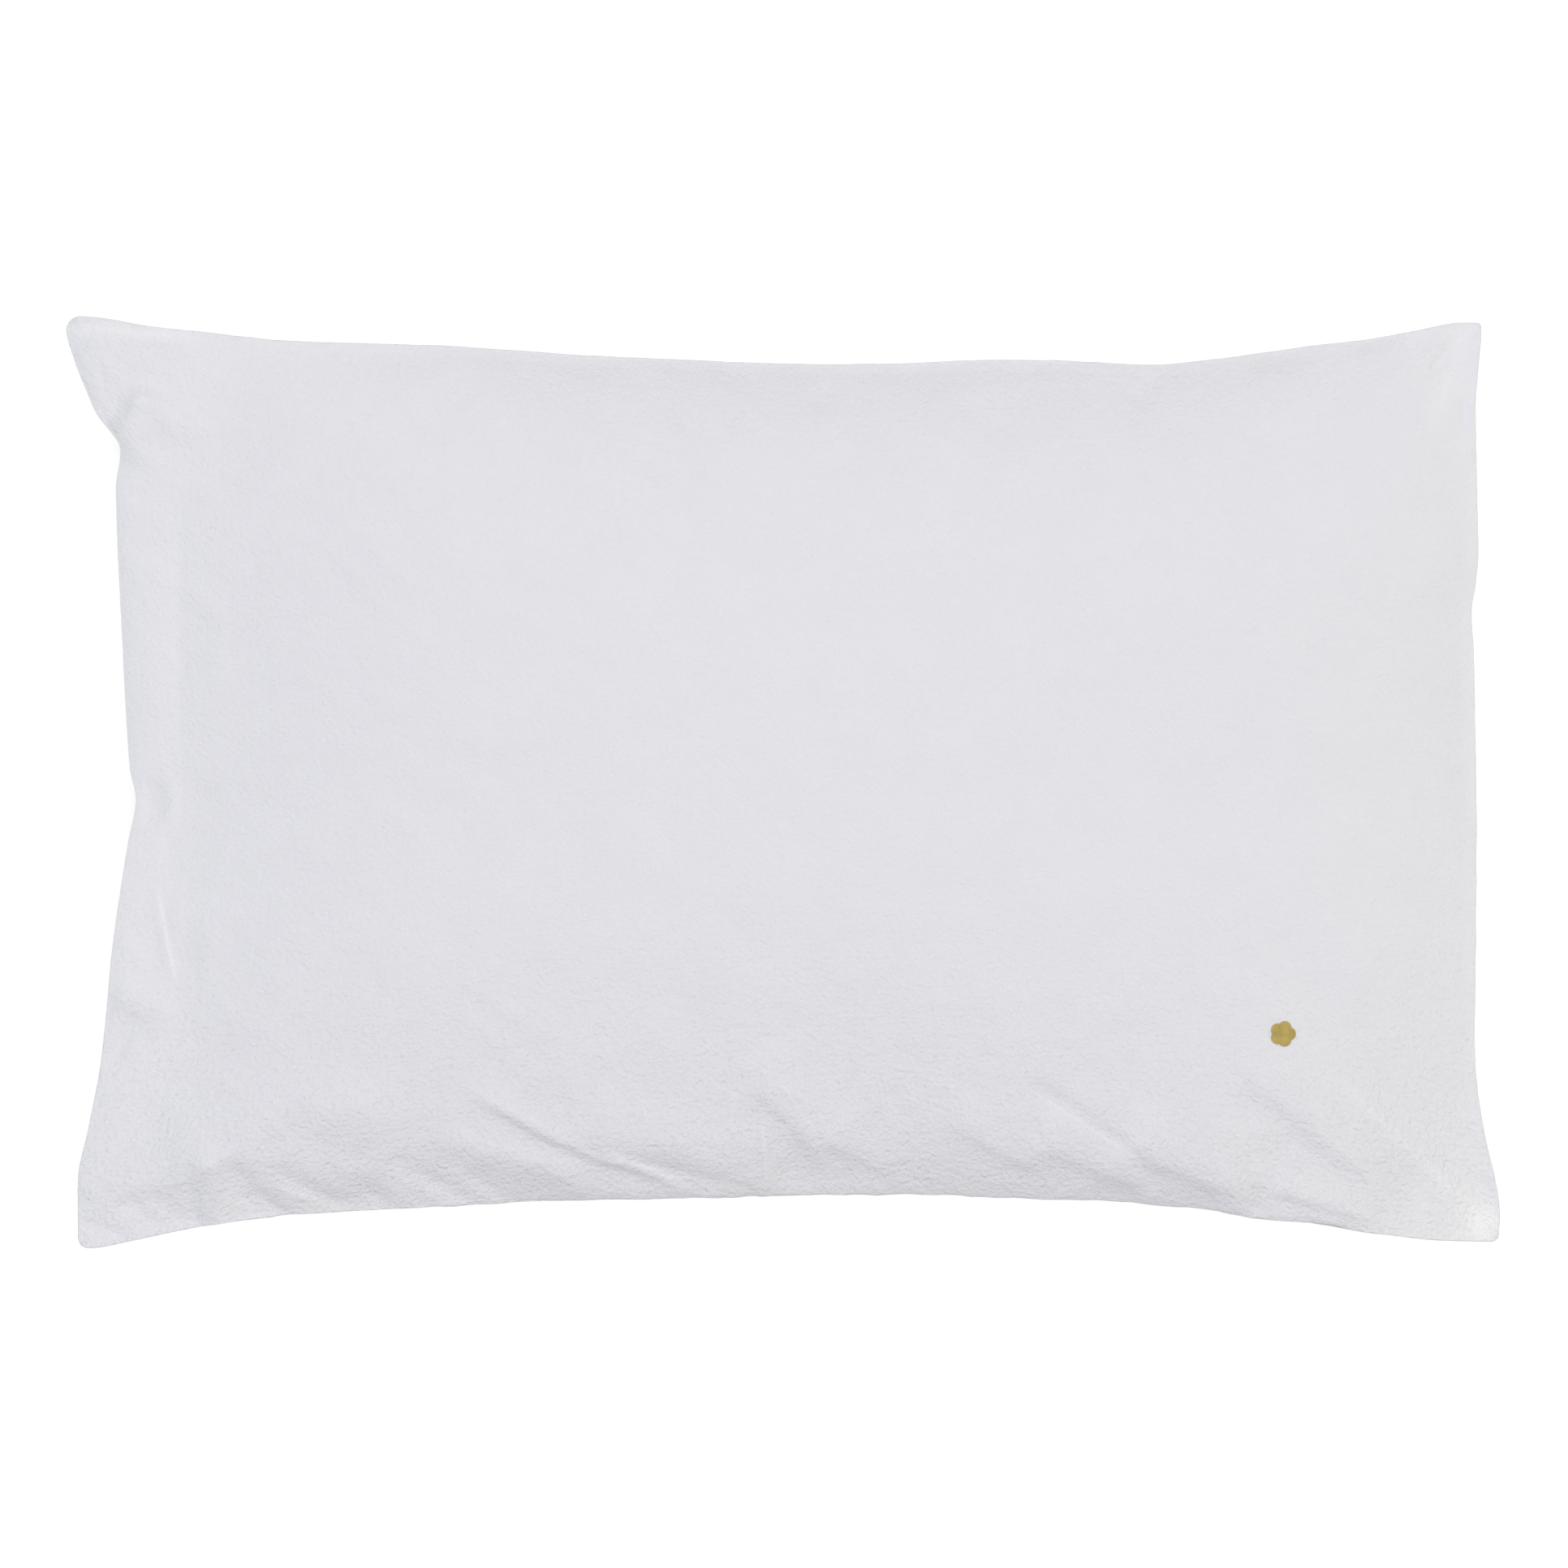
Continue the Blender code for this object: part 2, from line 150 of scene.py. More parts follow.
# The folds that run down to the side at -Y, from the opening end to the sewn end.
LOW_SIDE_FOLDS = (
    Fold((-352, -215), (-264, -180), (-176, -186), 22, 7.4),
    Fold((-210, -198), (90, -198), (352, -220), 44, 7.2),
    Fold((-74, -222), (0, -220), (90, -220), 11, 3.2),
    Fold((-168, -158), (-118, -190), (-56, -210), 7.5, 2.8, LAP),
    Fold((-172, -159), (-134, -180), (-90, -201), 3.4, 1.5),
    Fold((-194, -185), (-146, -198), (-90, -215), 9, 3.8),
    Fold((-98, -197), (-72, -206), (-44, -220), 3, 1.8),
    Fold((-118, -176), (-60, -192), (8, -209), 13, 4.0, PLEAT),
    Fold((-128, -214), (-88, -220), (-44, -226), 9, 2.2),
    Fold((-26, -154), (6, -177), (25, -212), 14, 3.8, LAP),
    Fold((-28, -161), (-25, -170), (-23, -179), 2, 0.8),
    Fold((-10.5, -178), (-8.5, -196), (-5, -213), 2, 1.2),
    Fold((-1, -158), (9, -167), (19, -182), 2.4, 1.2),
    Fold((20, -185), (40, -197), (72, -212), 13, 2.2, LAP),
    Fold((57, -160), (62, -170), (70, -182), 4, 0.9, TROUGH),
    Fold((80, -173), (112, -191), (148, -211), 13, 2.4, LAP),
    Fold((131, -178), (137, -187), (143, -197), 2.5, 0.8, TROUGH),
    Fold((132, -185), (160, -200), (210, -218), 17, 3.2, LAP),
    Fold((120, -153), (160, -177), (202, -206), 4.2, -2.2),
    Fold((176, -189), (208, -204), (262, -223), 16, 5.4, CREST),
    Fold((182, -193), (189, -205), (198, -222), 6, -2.0, LAP),
    Fold((178, -156), (189, -164), (200, -176), 4, -0.5),
    Fold((256, -211), (280, -220), (332, -236), 11, 3.0, LAP),
    Fold((253, -212), (252, -220), (251, -231), 4, 2.0, TROUGH),
    Fold((235, -141), (282, -183), (330, -223), 18, 4.4, LAP),
    Fold((316, -224), (317, -231), (318, -240), 3, 1.2, TROUGH),
    Fold((334, -232), (335, -237), (336, -244), 3, 0.9, TROUGH),
    Fold((372, -232), (334, -195), (284, -144), 12, 2.4, LAP),
    Fold((212, -231), (290, -243), (376, -252), 26, 8.5),
)
# The shoulder and the puckers by the low corner at the opening.
LOW_OPENING_FOLDS = (
    Fold((-380, -220), (-328, -214), (-284, -188), 12, 2.6, LAP),
    Fold((-364, -218), (-350, -220), (-336, -219), 5, -1.6),
    Fold((-374, -231), (-358, -238), (-342, -247), 4, -1.8),
    Fold((-352, -222), (-338, -229), (-320, -242), 4, -1.4),
    Fold((-338, -217), (-328, -223), (-314, -240), 4, -1.3),
    Fold((-330, -238), (-256, -231), (-176, -226), 15, -3.6),
    Fold((-324, -212), (-308, -211), (-292, -210), 13, 2.6),
    Fold((-303, -190), (-300, -217), (-291, -244), 12, 5.0, PLEAT),
    Fold((-297, -188), (-273, -207), (-250, -234), 9, 3.8, PLEAT),
    Fold((-283, -217), (-280, -223), (-275, -234), 3, -1.4),
    Fold((-268, -191), (-250, -206), (-214, -220), 8, 3.0, PLEAT),
    Fold((-266, -214), (-254, -219), (-242, -225), 2.6, 1.4),
    Fold((-240, -196), (-230, -205), (-216, -216), 5, 1.4, PLEAT),
    Fold((-224, -196), (-208, -212), (-190, -232), 9, 2.4, PLEAT),
    Fold((-210, -198), (-194, -207), (-172, -221), 5, -1.6),
    Fold((-192, -205), (-178, -213), (-160, -225), 4, -1.3),
    Fold((-170, -205), (-158, -212), (-144, -223), 3.5, -1.2),
    Fold((-292, -136), (-287, -146), (-284, -156), 4, -0.5),
)
# The empty edge at the opening, with its notch, and the edge of the filling beside it.
OPENING_FOLDS = (
    Fold((-319, 168), (-318, 80), (-318, -4), 4, -0.7),
    Fold((-330, 160), (-331, 70), (-331, 6), 9, 1.0),
    Fold((-308, 200), (-306, 75), (-308, -76), 17, 2.3),
    Fold((-325, -26), (-323, -42), (-323, -60), 5, -0.7),
    Fold((-336, 4), (-333, -10), (-334, -26), 6, -2.4),
    Fold((-328, 6), (-322, -8), (-326, -28), 4, 1.4),
    Fold((-331, -56), (-328, -78), (-321, -106), 2.2, 1.2),
    Fold((-328, -74), (-311, -78), (-290, -85), 14, 2.4),
    Fold((-319, -74), (-313, -88), (-308, -106), 9, -1.4),
    Fold((-341, -82), (-347, -92), (-351, -104), 4, 1.0),
    Fold((-351, -100), (-348, -111), (-345, -122), 6, 1.8),
    Fold((-354, -110), (-338, -117), (-318, -126), 11, 2.2),
    Fold((-340, -120), (-348, -136), (-355, -154), 4, -2.6),
    Fold((-338, -120), (-336, -132), (-338, -144), 7, -1.2),
    Fold((-328, -150), (-336, -172), (-344, -196), 12, -0.9),
)
# The ear of the high corner at the opening, with the pocket behind it.
EAR_FOLDS = (
    Fold((-335, 211), (-344, 193), (-358, 172), 16, 6.6, LAP),
    Fold((-362, 190), (-353, 194), (-345, 204), 7, -2.6),
    Fold((-337, 202), (-333, 188), (-331, 172), 7, -1.7),
    Fold((-286, 228), (-336, 233), (-392, 237), 11, 2.8, CREST),
    Fold((-356, 231), (-328, 229), (-296, 227), 6, -0.8),
    Fold((-376, 228), (-364, 219), (-350, 216), 14, 2.6),
    Fold((-361, 222), (-359, 212), (-358, 201), 3, -1.3),
    Fold((-351, 224), (-350, 214), (-349, 204), 3, 1.1),
)
# The streaks by the high corner at the sewn end, and the slack along the side at +Y.
HIGH_SIDE_FOLDS = (
    Fold((312, 142), (346, 192), (372, 230), 36, 2.4, CREST),
    Fold((360, 213), (365, 226), (371, 239), 2.4, 1.8),
    Fold((358, 208), (362, 221), (367, 235), 3, -2),
    Fold((352, 240), (346, 229), (338, 218), 4.5, 2.2),
    Fold((358, 234), (351, 224), (343, 215), 3.5, -1.8),
    Fold((342, 228), (330, 216), (316, 203), 7, 1.5),
    Fold((366, 206), (365, 184), (364, 160), 2, 1.1),
    Fold((362, 208), (362, 196), (361, 182), 3, -1.3),
    Fold((20, 211), (22, 204), (16, 194), 7, -1.3),
    Fold((198, 216), (193, 207), (184, 198), 6, -1.4),
    Fold((244, 227), (264, 227), (290, 233), 8, -2.6),
    Fold((298, 235), (314, 236), (332, 242), 7, -2.6),
    Fold((-180, 214), (-172, 208), (-160, 198), 9, -0.8),
    Fold((210, 228), (290, 236), (360, 246), 8, -1.6),
)
# The long light ridges into the low corner at the sewn end, and the faint dents of the face.
FACE_FOLDS = (
    Fold((262, -16), (302, -88), (354, -192), 14, 1.6),
    Fold((318, 30), (338, -50), (362, -150), 14, -1.0),
    Fold((88, 128), (56, 94), (14, 58), 15, -0.9),
    Fold((132, 54), (106, 42), (84, 22), 11, -0.7),
    Fold((186, 44), (164, 30), (146, 18), 9, -0.6),
    Fold((198, 12), (188, -3), (180, -18), 7, -0.6),
    Fold((-40, -62), (-16, -82), (14, -104), 12, -0.8),
    Fold((-160, -48), (-138, -52), (-116, -60), 8, -0.5),
    Fold((-96, -98), (-62, -112), (-28, -142), 13, -0.6),
    Fold((-184, 28), (-156, 21), (-130, 20), 9, 0.5),
    Fold((-208, -22), (-186, -26), (-164, -26), 8, 0.5),
    Fold((-130, -88), (-112, -112), (-104, -136), 12, -0.7),
    Fold((-10, -112), (0, -130), (2, -146), 9, -0.6),
)
SWELLS = (
    Swell((-160, 60), 120, 3.0), Swell((60, -30), 110, 2.0), Swell((210, 90), 110, 2.5),
    Swell((34, 100), 60, -2.5), Swell((165, 32), 70, -2.5), Swell((-138, -52), 80, -2.5),
    Swell((-60, 150), 80, 1.5), Swell((290, 20), 70, -2.0), Swell((-240, -80), 80, 2.0),
    Swell((120, -120), 80, 2.0), Swell((400, -262), 80, 6.0), Swell((200, -196), 90, 3.0),
    Swell((260, -190), 110, 5.0), Swell((-150, -190), 60, 3.0),
    Swell((150, -195), 70, 4.0),
)


class PaintedHighlight(NamedTuple):
    """A straight stretch along a fold's edge where the cloth's colour is painted lighter: a painted
    highlight.
    """

    start: tuple[float, float]
    end: tuple[float, float]
    width: float
    strength: float


# Painted highlights: the cloth's colour is painted lighter along these stretches of fold edges.
PAINTED_HIGHLIGHTS = (
    PaintedHighlight((129, -161), (192, -201), 1.1, 0.3), PaintedHighlight((292, -155), (370, -230), 4.4, 0.2),
    PaintedHighlight((-96, -194), (-46, -214), 2.0, 0.36), PaintedHighlight((-10, -176), (-7, -215), 1.5, 0.3),
    PaintedHighlight((-24, -162), (-26, -179), 1.4, 0.25), PaintedHighlight((-1, -157), (19, -186), 1.8, 0.3),
    PaintedHighlight((-330, -56), (-320, -108), 1.8, 0.45), PaintedHighlight((-267, -214), (-246, -222), 2.0, 0.5),
    PaintedHighlight((-382, 241), (-300, 236), 6.0, 0.35), PaintedHighlight((368, 246), (342, 184), 8.0, 0.16),
)


class Corner(NamedTuple):
    """A corner of the outline."""

    place: tuple[float, float]
    inward: tuple[float, float]
    radius: float  # how round it is
    slack: float  # how far in from it the filling thins out


class RimRing(NamedTuple):
    """One ring of the rim between the two panels, for a sewn side and for the opening end."""

    sewn_out: float
    sewn_rise: float  # share of half the edge's thickness
    opening_out: float
    opening_rise: float  # share of half the edge's thickness
    opening_gape: float  # share of half the gap between the two hems


RIM = (
    RimRing(0.55, 0.82, 0.45, 0.80, 1.0),
    RimRing(0.75, 0.42, 0.60, 0.45, 1.0),
    RimRing(0.35, 0.10, 0.35, 0.12, 1.0),
    RimRing(-0.30, 0.0, -7.0, 0.0, 0.0),
    RimRing(0.35, -0.10, 0.35, -0.12, -1.0),
    RimRing(0.75, -0.42, 0.60, -0.45, -1.0),
    RimRing(0.55, -0.82, 0.45, -0.80, -1.0),
)
GROOVE_RING = 3  # the ring at the bottom of the groove


def mix(a: float, b: float, share: np.ndarray | float) -> np.ndarray | float:
    """Returns the value that lies the given share of the way from a to b."""
    return a + (b - a) * share


def smooth(value: np.ndarray, low: float, high: float) -> np.ndarray:
    """Returns 0 below low, 1 above high and a smooth rise between."""
    share = np.clip((value - low) / (high - low), 0.0, 1.0)
    return share * share * (3.0 - 2.0 * share)


def along_side(side: tuple[Inset, ...], shares: np.ndarray) -> np.ndarray:
    """Reads a side's depth on a smooth curve through its rows.

    Args:
        side: The rows of the side.
        shares: How far along the side to read, from 0 to 1.

    Returns:
        The depth at each share.
    """
    place = np.array([row.share for row in side])
    depth = np.array([row.depth for row in side])
    last = len(side) - 1
    i = np.clip(np.searchsorted(place[1:], shares), 0, last - 1)
    before, after = np.maximum(i - 1, 0), np.minimum(i + 2, last)
    span = place[i + 1] - place[i]
    slope_a = (depth[i + 1] - depth[before]) / (place[i + 1] - place[before]) * span
    slope_b = (depth[after] - depth[i]) / (place[after] - place[i]) * span
    t = (shares - place[i]) / span
    return (
        (2 * t**3 - 3 * t**2 + 1) * depth[i]
        + (t**3 - 2 * t**2 + t) * slope_a
        + (3 * t**2 - 2 * t**3) * depth[i + 1]
        + (t**3 - t**2) * slope_b
    )


def grid_lines(cells: int, low_cell: float, high_cell: float, reach: float = 0.16) -> np.ndarray:
    """Spaces the lines of a grid from 0 to 1, closer together at its two ends.

    Args:
        cells: How many cells there are.
        low_cell: The size of a cell at 0, as a share of one in the middle.
        high_cell: The size of a cell at 1, as a share of one in the middle.
        reach: How far in from an end its lines are closer.

    Returns:
        The cells + 1 shares.
    """
    t = (np.arange(cells) + 0.5) / cells
    size = 1.0 - (1.0 - low_cell) * np.exp(-((t / reach) ** 2))
    size -= (1.0 - high_cell) * np.exp(-(((1.0 - t) / reach) ** 2))
    lines = np.concatenate(((0.0,), np.cumsum(size)))
    return lines / lines[-1]


def grid_normals(points: np.ndarray) -> np.ndarray:
    """Returns the unit normals of a grid of points, on the side where +Z is for a grid that lies flat."""
    normals = np.cross(np.gradient(points, axis=0), np.gradient(points, axis=1))
    return normals / np.linalg.norm(normals, axis=2, keepdims=True)


def curve_weights(known: np.ndarray, wanted: np.ndarray) -> np.ndarray:
    """Makes the matrix that reads a smooth curve through known lines at the wanted ones.

    Args:
        known: The shares at which values are known, rising.
        wanted: The shares at which they are read.

    Returns:
        A matrix with a row for each wanted share and a column for each known one.
    """
    last = len(known) - 1
    i = np.clip(np.searchsorted(known[1:], wanted), 0, last - 1)
    t = (wanted - known[i]) / (known[i + 1] - known[i])
    rows = np.arange(len(wanted))
    weights = np.zeros((len(wanted), len(known)))
    cubic = (
        (np.maximum(i - 1, 0), -0.5 * t + t**2 - 0.5 * t**3),
        (i, 1.0 - 2.5 * t**2 + 1.5 * t**3),
        (i + 1, 0.5 * t + 2.0 * t**2 - 1.5 * t**3),
        (np.minimum(i + 2, last), -0.5 * t**2 + 0.5 * t**3),
    )
    for column, value in cubic:
        np.add.at(weights, (rows, column), value)
    return weights


def lattice_noise(x: np.ndarray, y: np.ndarray, pitch: float, seed: int) -> np.ndarray:
    """Smooth noise between -1 and 1 from a lattice of seeded random values.

    Args:
        x: The first coordinate of each point.
        y: The second coordinate of each point.
        pitch: The lattice's step, in the coordinates' own unit.
        seed: The seed of the lattice.

    Returns:
        The noise at each point.
    """
    values = np.random.default_rng(seed).uniform(-1.0, 1.0, (256, 256))
    gx, gy = x / pitch + 64.0, y / pitch + 64.0
    ix, iy = np.floor(gx).astype(int), np.floor(gy).astype(int)
    fx, fy = gx - ix, gy - iy
    fx, fy = fx**3 * (fx * (6 * fx - 15) + 10), fy**3 * (fy * (6 * fy - 15) + 10)
    near = mix(values[ix % 256, iy % 256], values[(ix + 1) % 256, iy % 256], fx)
    far = mix(values[ix % 256, (iy + 1) % 256], values[(ix + 1) % 256, (iy + 1) % 256], fx)
    return mix(near, far, fy)


def turned(x: np.ndarray, y: np.ndarray, angle: float, stretch: float) -> tuple[np.ndarray, np.ndarray]:
    """Turns coordinates by an angle in degrees and draws the pattern out along the turned first axis."""
    c, s = math.cos(math.radians(angle)), math.sin(math.radians(angle))
    return (c * x + s * y) / stretch, c * y - s * x


@dataclass(frozen=True)
class CaseForm:
    """The filled case as two smooth sheets over one plan, as its solid has them."""

    opening_low: Corner = Corner((-372.0, -247.3), (1.0, 1.0), 6.0, 45.0)
    opening_high: Corner = Corner((-378.4, 246.8), (1.0, -1.0), 8.0, 45.0)
    sewn_low: Corner = Corner((379.7, -243.4), (-1.0, 1.0), 3.0, 60.0)
    sewn_high: Corner = Corner((370.7, 242.5), (-1.0, -1.0), 1.5, 40.0)
    front_crown: float = 63.0
    back_crown: float = 74.0
    seam_level: float = 60.0
    corner_droop: float = 24.0
    hem_droop: float = 11.0
    hem_reach: float = 0.1  # share of the length over which the empty edge hangs
    edge_thickness: float = 2.4  # two folded layers of cloth
    contact_softness: float = 6.0
    contact_settle: float = 1.0
    squareness: float = 2.6
    front_steepness: float = 0.82
    back_steepness: float = 0.55
    opening_softness: float = 0.3  # how much more gently the pillow's end rises inside the opening
    opening_ease: float = 0.03
    filled_from: float = 0.25
    bow_shape: float = 2.2
    notch_reach: float = 0.2
    flat_length: float = 750.0
    flat_width: float = 500.0

    def corners(self) -> tuple[Corner, ...]:
        """Returns the four corners, those at the opening first and the low one of each pair first."""
        return self.opening_low, self.opening_high, self.sewn_low, self.sewn_high

    def plan(self, u: np.ndarray, v: np.ndarray) -> np.ndarray:
        """Finds where the cloth lies, seen from above.

        Args:
            u: The share along the case.
            v: The share across it.

        Returns:
            The X and Y of each point, in a last axis of two.
        """
        ol, oh, sl, sh = (np.array(corner.place) for corner in self.corners())
        u, v = u[..., None], v[..., None]
        low = mix(ol, sl, u) + self.inset(LOW_SIDE, u, v) * (0, 1)
        high = mix(oh, sh, u) + self.inset(HIGH_SIDE, u, 1.0 - v) * (0, -1)
        opening = mix(ol, oh, v) + self.inset(OPENING_END, v, u) * (1, 0)
        sewn = mix(sl, sh, v) + self.inset(SEWN_END, v, 1.0 - u) * (-1, 0)
        points = mix(low, high, v) + mix(opening, sewn, u) - mix(mix(ol, sl, u), mix(oh, sh, u), v)
        for corner in self.corners():
            points = self.round_corner(points, corner)
        return points

    def inset(self, side: tuple[Inset, ...], shares: np.ndarray, away: np.ndarray) -> np.ndarray:
        """Reads how far a side draws in the cloth: its bow carries right across, and its notches die out.

        Args:
            side: The rows of the side.
            shares: The share along the side.
            away: The share of the way to the other side.

        Returns:
            The depth at each point.
        """
        bow = max(row.depth for row in side) * (1.0 - np.abs(2.0 * shares - 1.0) ** self.bow_shape)
        return bow + (along_side(side, shares) - bow) * (1.0 - smooth(away, 0.0, self.notch_reach))

    @staticmethod
    def round_corner(points: np.ndarray, corner: Corner) -> np.ndarray:
        """Moves the points near a corner on to its round.

        Args:
            points: Points of the plan.
            corner: The corner.

        Returns:
            All the points.
        """
        place, inward = np.array(corner.place), np.array(corner.inward)
        offset = (place + inward * corner.radius - points) * inward
        inside = (offset > 0.0).all(axis=-1, keepdims=True)
        length = np.where(inside, np.linalg.norm(offset, axis=-1, keepdims=True), 1.0)
        scale = offset.max(axis=-1, keepdims=True) / length
        return np.where(inside, place + inward * (corner.radius - offset * scale), points)

    def bulge(self, share: np.ndarray, steepness: np.ndarray | float) -> np.ndarray:
        """Returns the fullness at a share of the way across: 0 at both ends and 1 in the middle."""
        return np.maximum(0.0, 1.0 - np.abs(2.0 * share - 1.0) ** self.squareness) ** steepness

    def corner_fullness(self, points: np.ndarray) -> np.ndarray:
        """Returns how much of the filling reaches points of the plan: little of it near a corner."""
        share = np.ones(points.shape[:-1])
        for corner in self.corners():
            away = np.linalg.norm(points - corner.place, axis=-1) / corner.slack
            share = share * (1.0 - np.exp(-(away**2)))
        return share

    def fullness(self, u: np.ndarray, v: np.ndarray, steepness: float) -> np.ndarray:
        """Measures how full the case is.

        Args:
            u: The share along the case.
            v: The share across it.
            steepness: How gently a panel leaves its seams.

        Returns:
            The fullness, from 0 at the seams to 1 at the crown.
        """
        length = self.sewn_low.place[0] - self.opening_low.place[0]
        start = along_side(EMPTY_EDGE, v) / length
        along = np.clip((u - start) / (1.0 - start), 0.0, 1.0)
        ease = self.opening_ease
        eased = mix(ease / 2.0, 1.0, (along - ease) / (1.0 - ease))
        along = np.where(along < ease, along**2 / (2.0 * ease), eased)
        softer = steepness + self.opening_softness * (1.0 - smooth(along, 0.0, 0.5))
        full = self.bulge(along, softer) * self.bulge(v, steepness)
        return full * self.corner_fullness(self.plan(u, v))

    def filled(self, u: np.ndarray, v: np.ndarray) -> np.ndarray:
        """Returns 1 where the filling parts the face from the back, and 0 where they lie on each other."""
        return smooth(self.fullness(u, v, self.back_steepness), 0.0, self.filled_from)

    def level(self, u: np.ndarray, v: np.ndarray) -> np.ndarray:
        """Returns the height of the seams' level: lower at the corners and at the empty edge."""
        a, b = np.abs(2.0 * u - 1.0), np.abs(2.0 * v - 1.0)
        hem = self.hem_droop * np.clip(1.0 - u / self.hem_reach, 0.0, 1.0) ** 2 * (1.0 - b**4)
        return self.seam_level - self.corner_droop * a**3 * b**3 - hem

    def face(self, u: np.ndarray, v: np.ndarray) -> np.ndarray:
        """Returns the points of the face's smooth form."""
        rise = self.front_crown * self.fullness(u, v, self.front_steepness)
        height = self.level(u, v) + self.edge_thickness / 2 + rise
        return np.concatenate((self.plan(u, v), height[..., None]), axis=-1)

    def back(self, u: np.ndarray, v: np.ndarray) -> np.ndarray:
        """Returns the points of the back's smooth form, before the surface below flattens it."""
        fall = self.back_crown * self.fullness(u, v, self.back_steepness)
        height = self.level(u, v) - self.edge_thickness / 2 - fall
        return np.concatenate((self.plan(u, v), height[..., None]), axis=-1)

    def rest(self, height: np.ndarray) -> np.ndarray:
        """Rolls heights that would go below the surface into a flat on it and returns them."""
        soft = self.contact_softness
        rolled = (np.clip(height, -soft, soft) + soft) ** 2 / (4.0 * soft)
        settled = mix(-self.contact_settle, soft, rolled / soft)
        return np.where(height >= soft, height, np.maximum(0.0, settled))


@dataclass(frozen=True)
class FoldField:
    """The folds laid into the cloth one by one, and the unevenness of the filling."""

    folds: tuple[Fold, ...]
    swells: tuple[Swell, ...]
    steps: int = 20
    reach: float = 3.6  # widths from a fold's line at which it has died out
    end_fade: float = 0.28  # share of the line over which a fold rises from each end
    lip_place: float = 1.75  # this and the lengths below are in widths of the fold
    lip_width: float = 0.75
    lip_height: float = 0.25
    gentle: float = 1.5
    steep: float = 0.4
    pleat_width: float = 1.4
    crest_round: float = 0.12
    crest_fall: float = 0.5

    def profile(self, form: FoldForm, offset: np.ndarray) -> np.ndarray:
        """Reads a fold's cross-section.

        Args:
            form: Which cross-section it is.
            offset: The distance to the left of the fold's line, in widths.

        Returns:
            The height at each offset, as a share of the fold's.
        """
        if form is FoldForm.TROUGH:
            lips = np.exp(-(((np.abs(offset) - self.lip_place) / self.lip_width) ** 2))
            return self.lip_height * lips - np.exp(-(offset**2))
        if form is FoldForm.LAP:
            width = np.where(offset > 0.0, self.gentle, self.steep)
            return np.exp(-((offset / width) ** 2))
        if form is FoldForm.PLEAT:
            rounded = np.exp(-((offset / self.pleat_width) ** 2))
            return np.where(offset > 0.0, rounded, np.maximum(0.0, 1.0 - offset**2))
        if form is FoldForm.CREST:
            gentle = np.exp(-((offset / self.gentle) ** 2))
            drop = self.crest_round - np.hypot(np.minimum(offset, 0.0), self.crest_round)
            return np.where(offset > 0.0, gentle, np.exp(drop / self.crest_fall))
        return np.exp(-(offset**2))

    def fold_lift(self, fold: Fold, plan: np.ndarray) -> np.ndarray:
        """Measures how far one fold lifts points of the plan.

        Args:
            fold: The fold.
            plan: The X and Y of each point, in two columns.

        Returns:
            The lift of each point.
        """
        start, middle, end = (np.array(point, float) for point in fold[:3])
        bend = 2.0 * middle - (start + end) / 2.0
        t = np.linspace(0.0, 1.0, self.steps + 1)[:, None]
        line = mix(mix(start, bend, t), mix(bend, end, t), t)
        run = np.diff(line, axis=0)
        margin = self.reach * fold.width
        near = ((plan > line.min(0) - margin) & (plan < line.max(0) + margin)).all(axis=1)
        offset = plan[near, None, :] - line[None, :-1, :]
        share = np.clip((offset * run).sum(2) / (run**2).sum(1), 0.0, 1.0)
        away = offset - share[..., None] * run
        distance = np.linalg.norm(away, axis=2)
        best = distance.argmin(axis=1)
        rows = np.arange(len(best))
        side = run[best, 0] * away[rows, best, 1] - run[best, 1] * away[rows, best, 0]
        signed = distance[rows, best] * np.where(side < 0.0, -1.0, 1.0) / fold.width
        where = (best + share[rows, best]) / self.steps
        fade = smooth(where, 0.0, self.end_fade) * smooth(1.0 - where, 0.0, self.end_fade)
        lift = np.zeros(len(plan))
        lift[near] = fold.height * fade * self.profile(fold.form, signed)
        return lift

    def lift(self, plan: np.ndarray) -> np.ndarray:
        """Returns how far all the folds and swells lift a grid of points of the plan."""
        flat = plan.reshape(-1, 2)
        total = np.zeros(len(flat))
        for fold in self.folds:
            total += self.fold_lift(fold, flat)
        for swell in self.swells:
            away = ((flat - swell.centre) ** 2).sum(1) / swell.radius**2
            total += swell.height * np.exp(-away)
        return total.reshape(plan.shape[:-1])


class CreaseLayer(NamedTuple):
    """One layer of the creases that washing leaves."""

    seed: int
    angle: float  # degrees
    stretch: float  # how much longer a crease is than it is wide
    pitch: float
    height: float


class Puckering(NamedTuple):
    """The puckers that one edge draws into a panel."""

    seed: int
    lean: float  # along the edge for each millimetre away from it
    strength: float


CREASE_LAYERS = (
    CreaseLayer(11, -38.0, 1.7, 26.0, 0.8), CreaseLayer(12, -70.0, 1.5, 15.6, 0.4),
    CreaseLayer(13, 24.0, 1.5, 13.0, 0.272), CreaseLayer(14, -50.0, 1.0, 9.0, 0.26),
)
LOW_PUCKERS = Puckering(21, 1.3, 1.0)
HIGH_PUCKERS = Puckering(24, 0.3, 0.45)
SEWN_PUCKERS = Puckering(27, 0.2, 0.5)
OPENING_PUCKERS = Puckering(30, 0.1, 0.3)


def patchy(noise: np.ndarray, share: float) -> np.ndarray:
    """Returns a strength of 1 at most, of which a share changes with noise between -1 and 1."""
    return 1.0 - share + share * noise


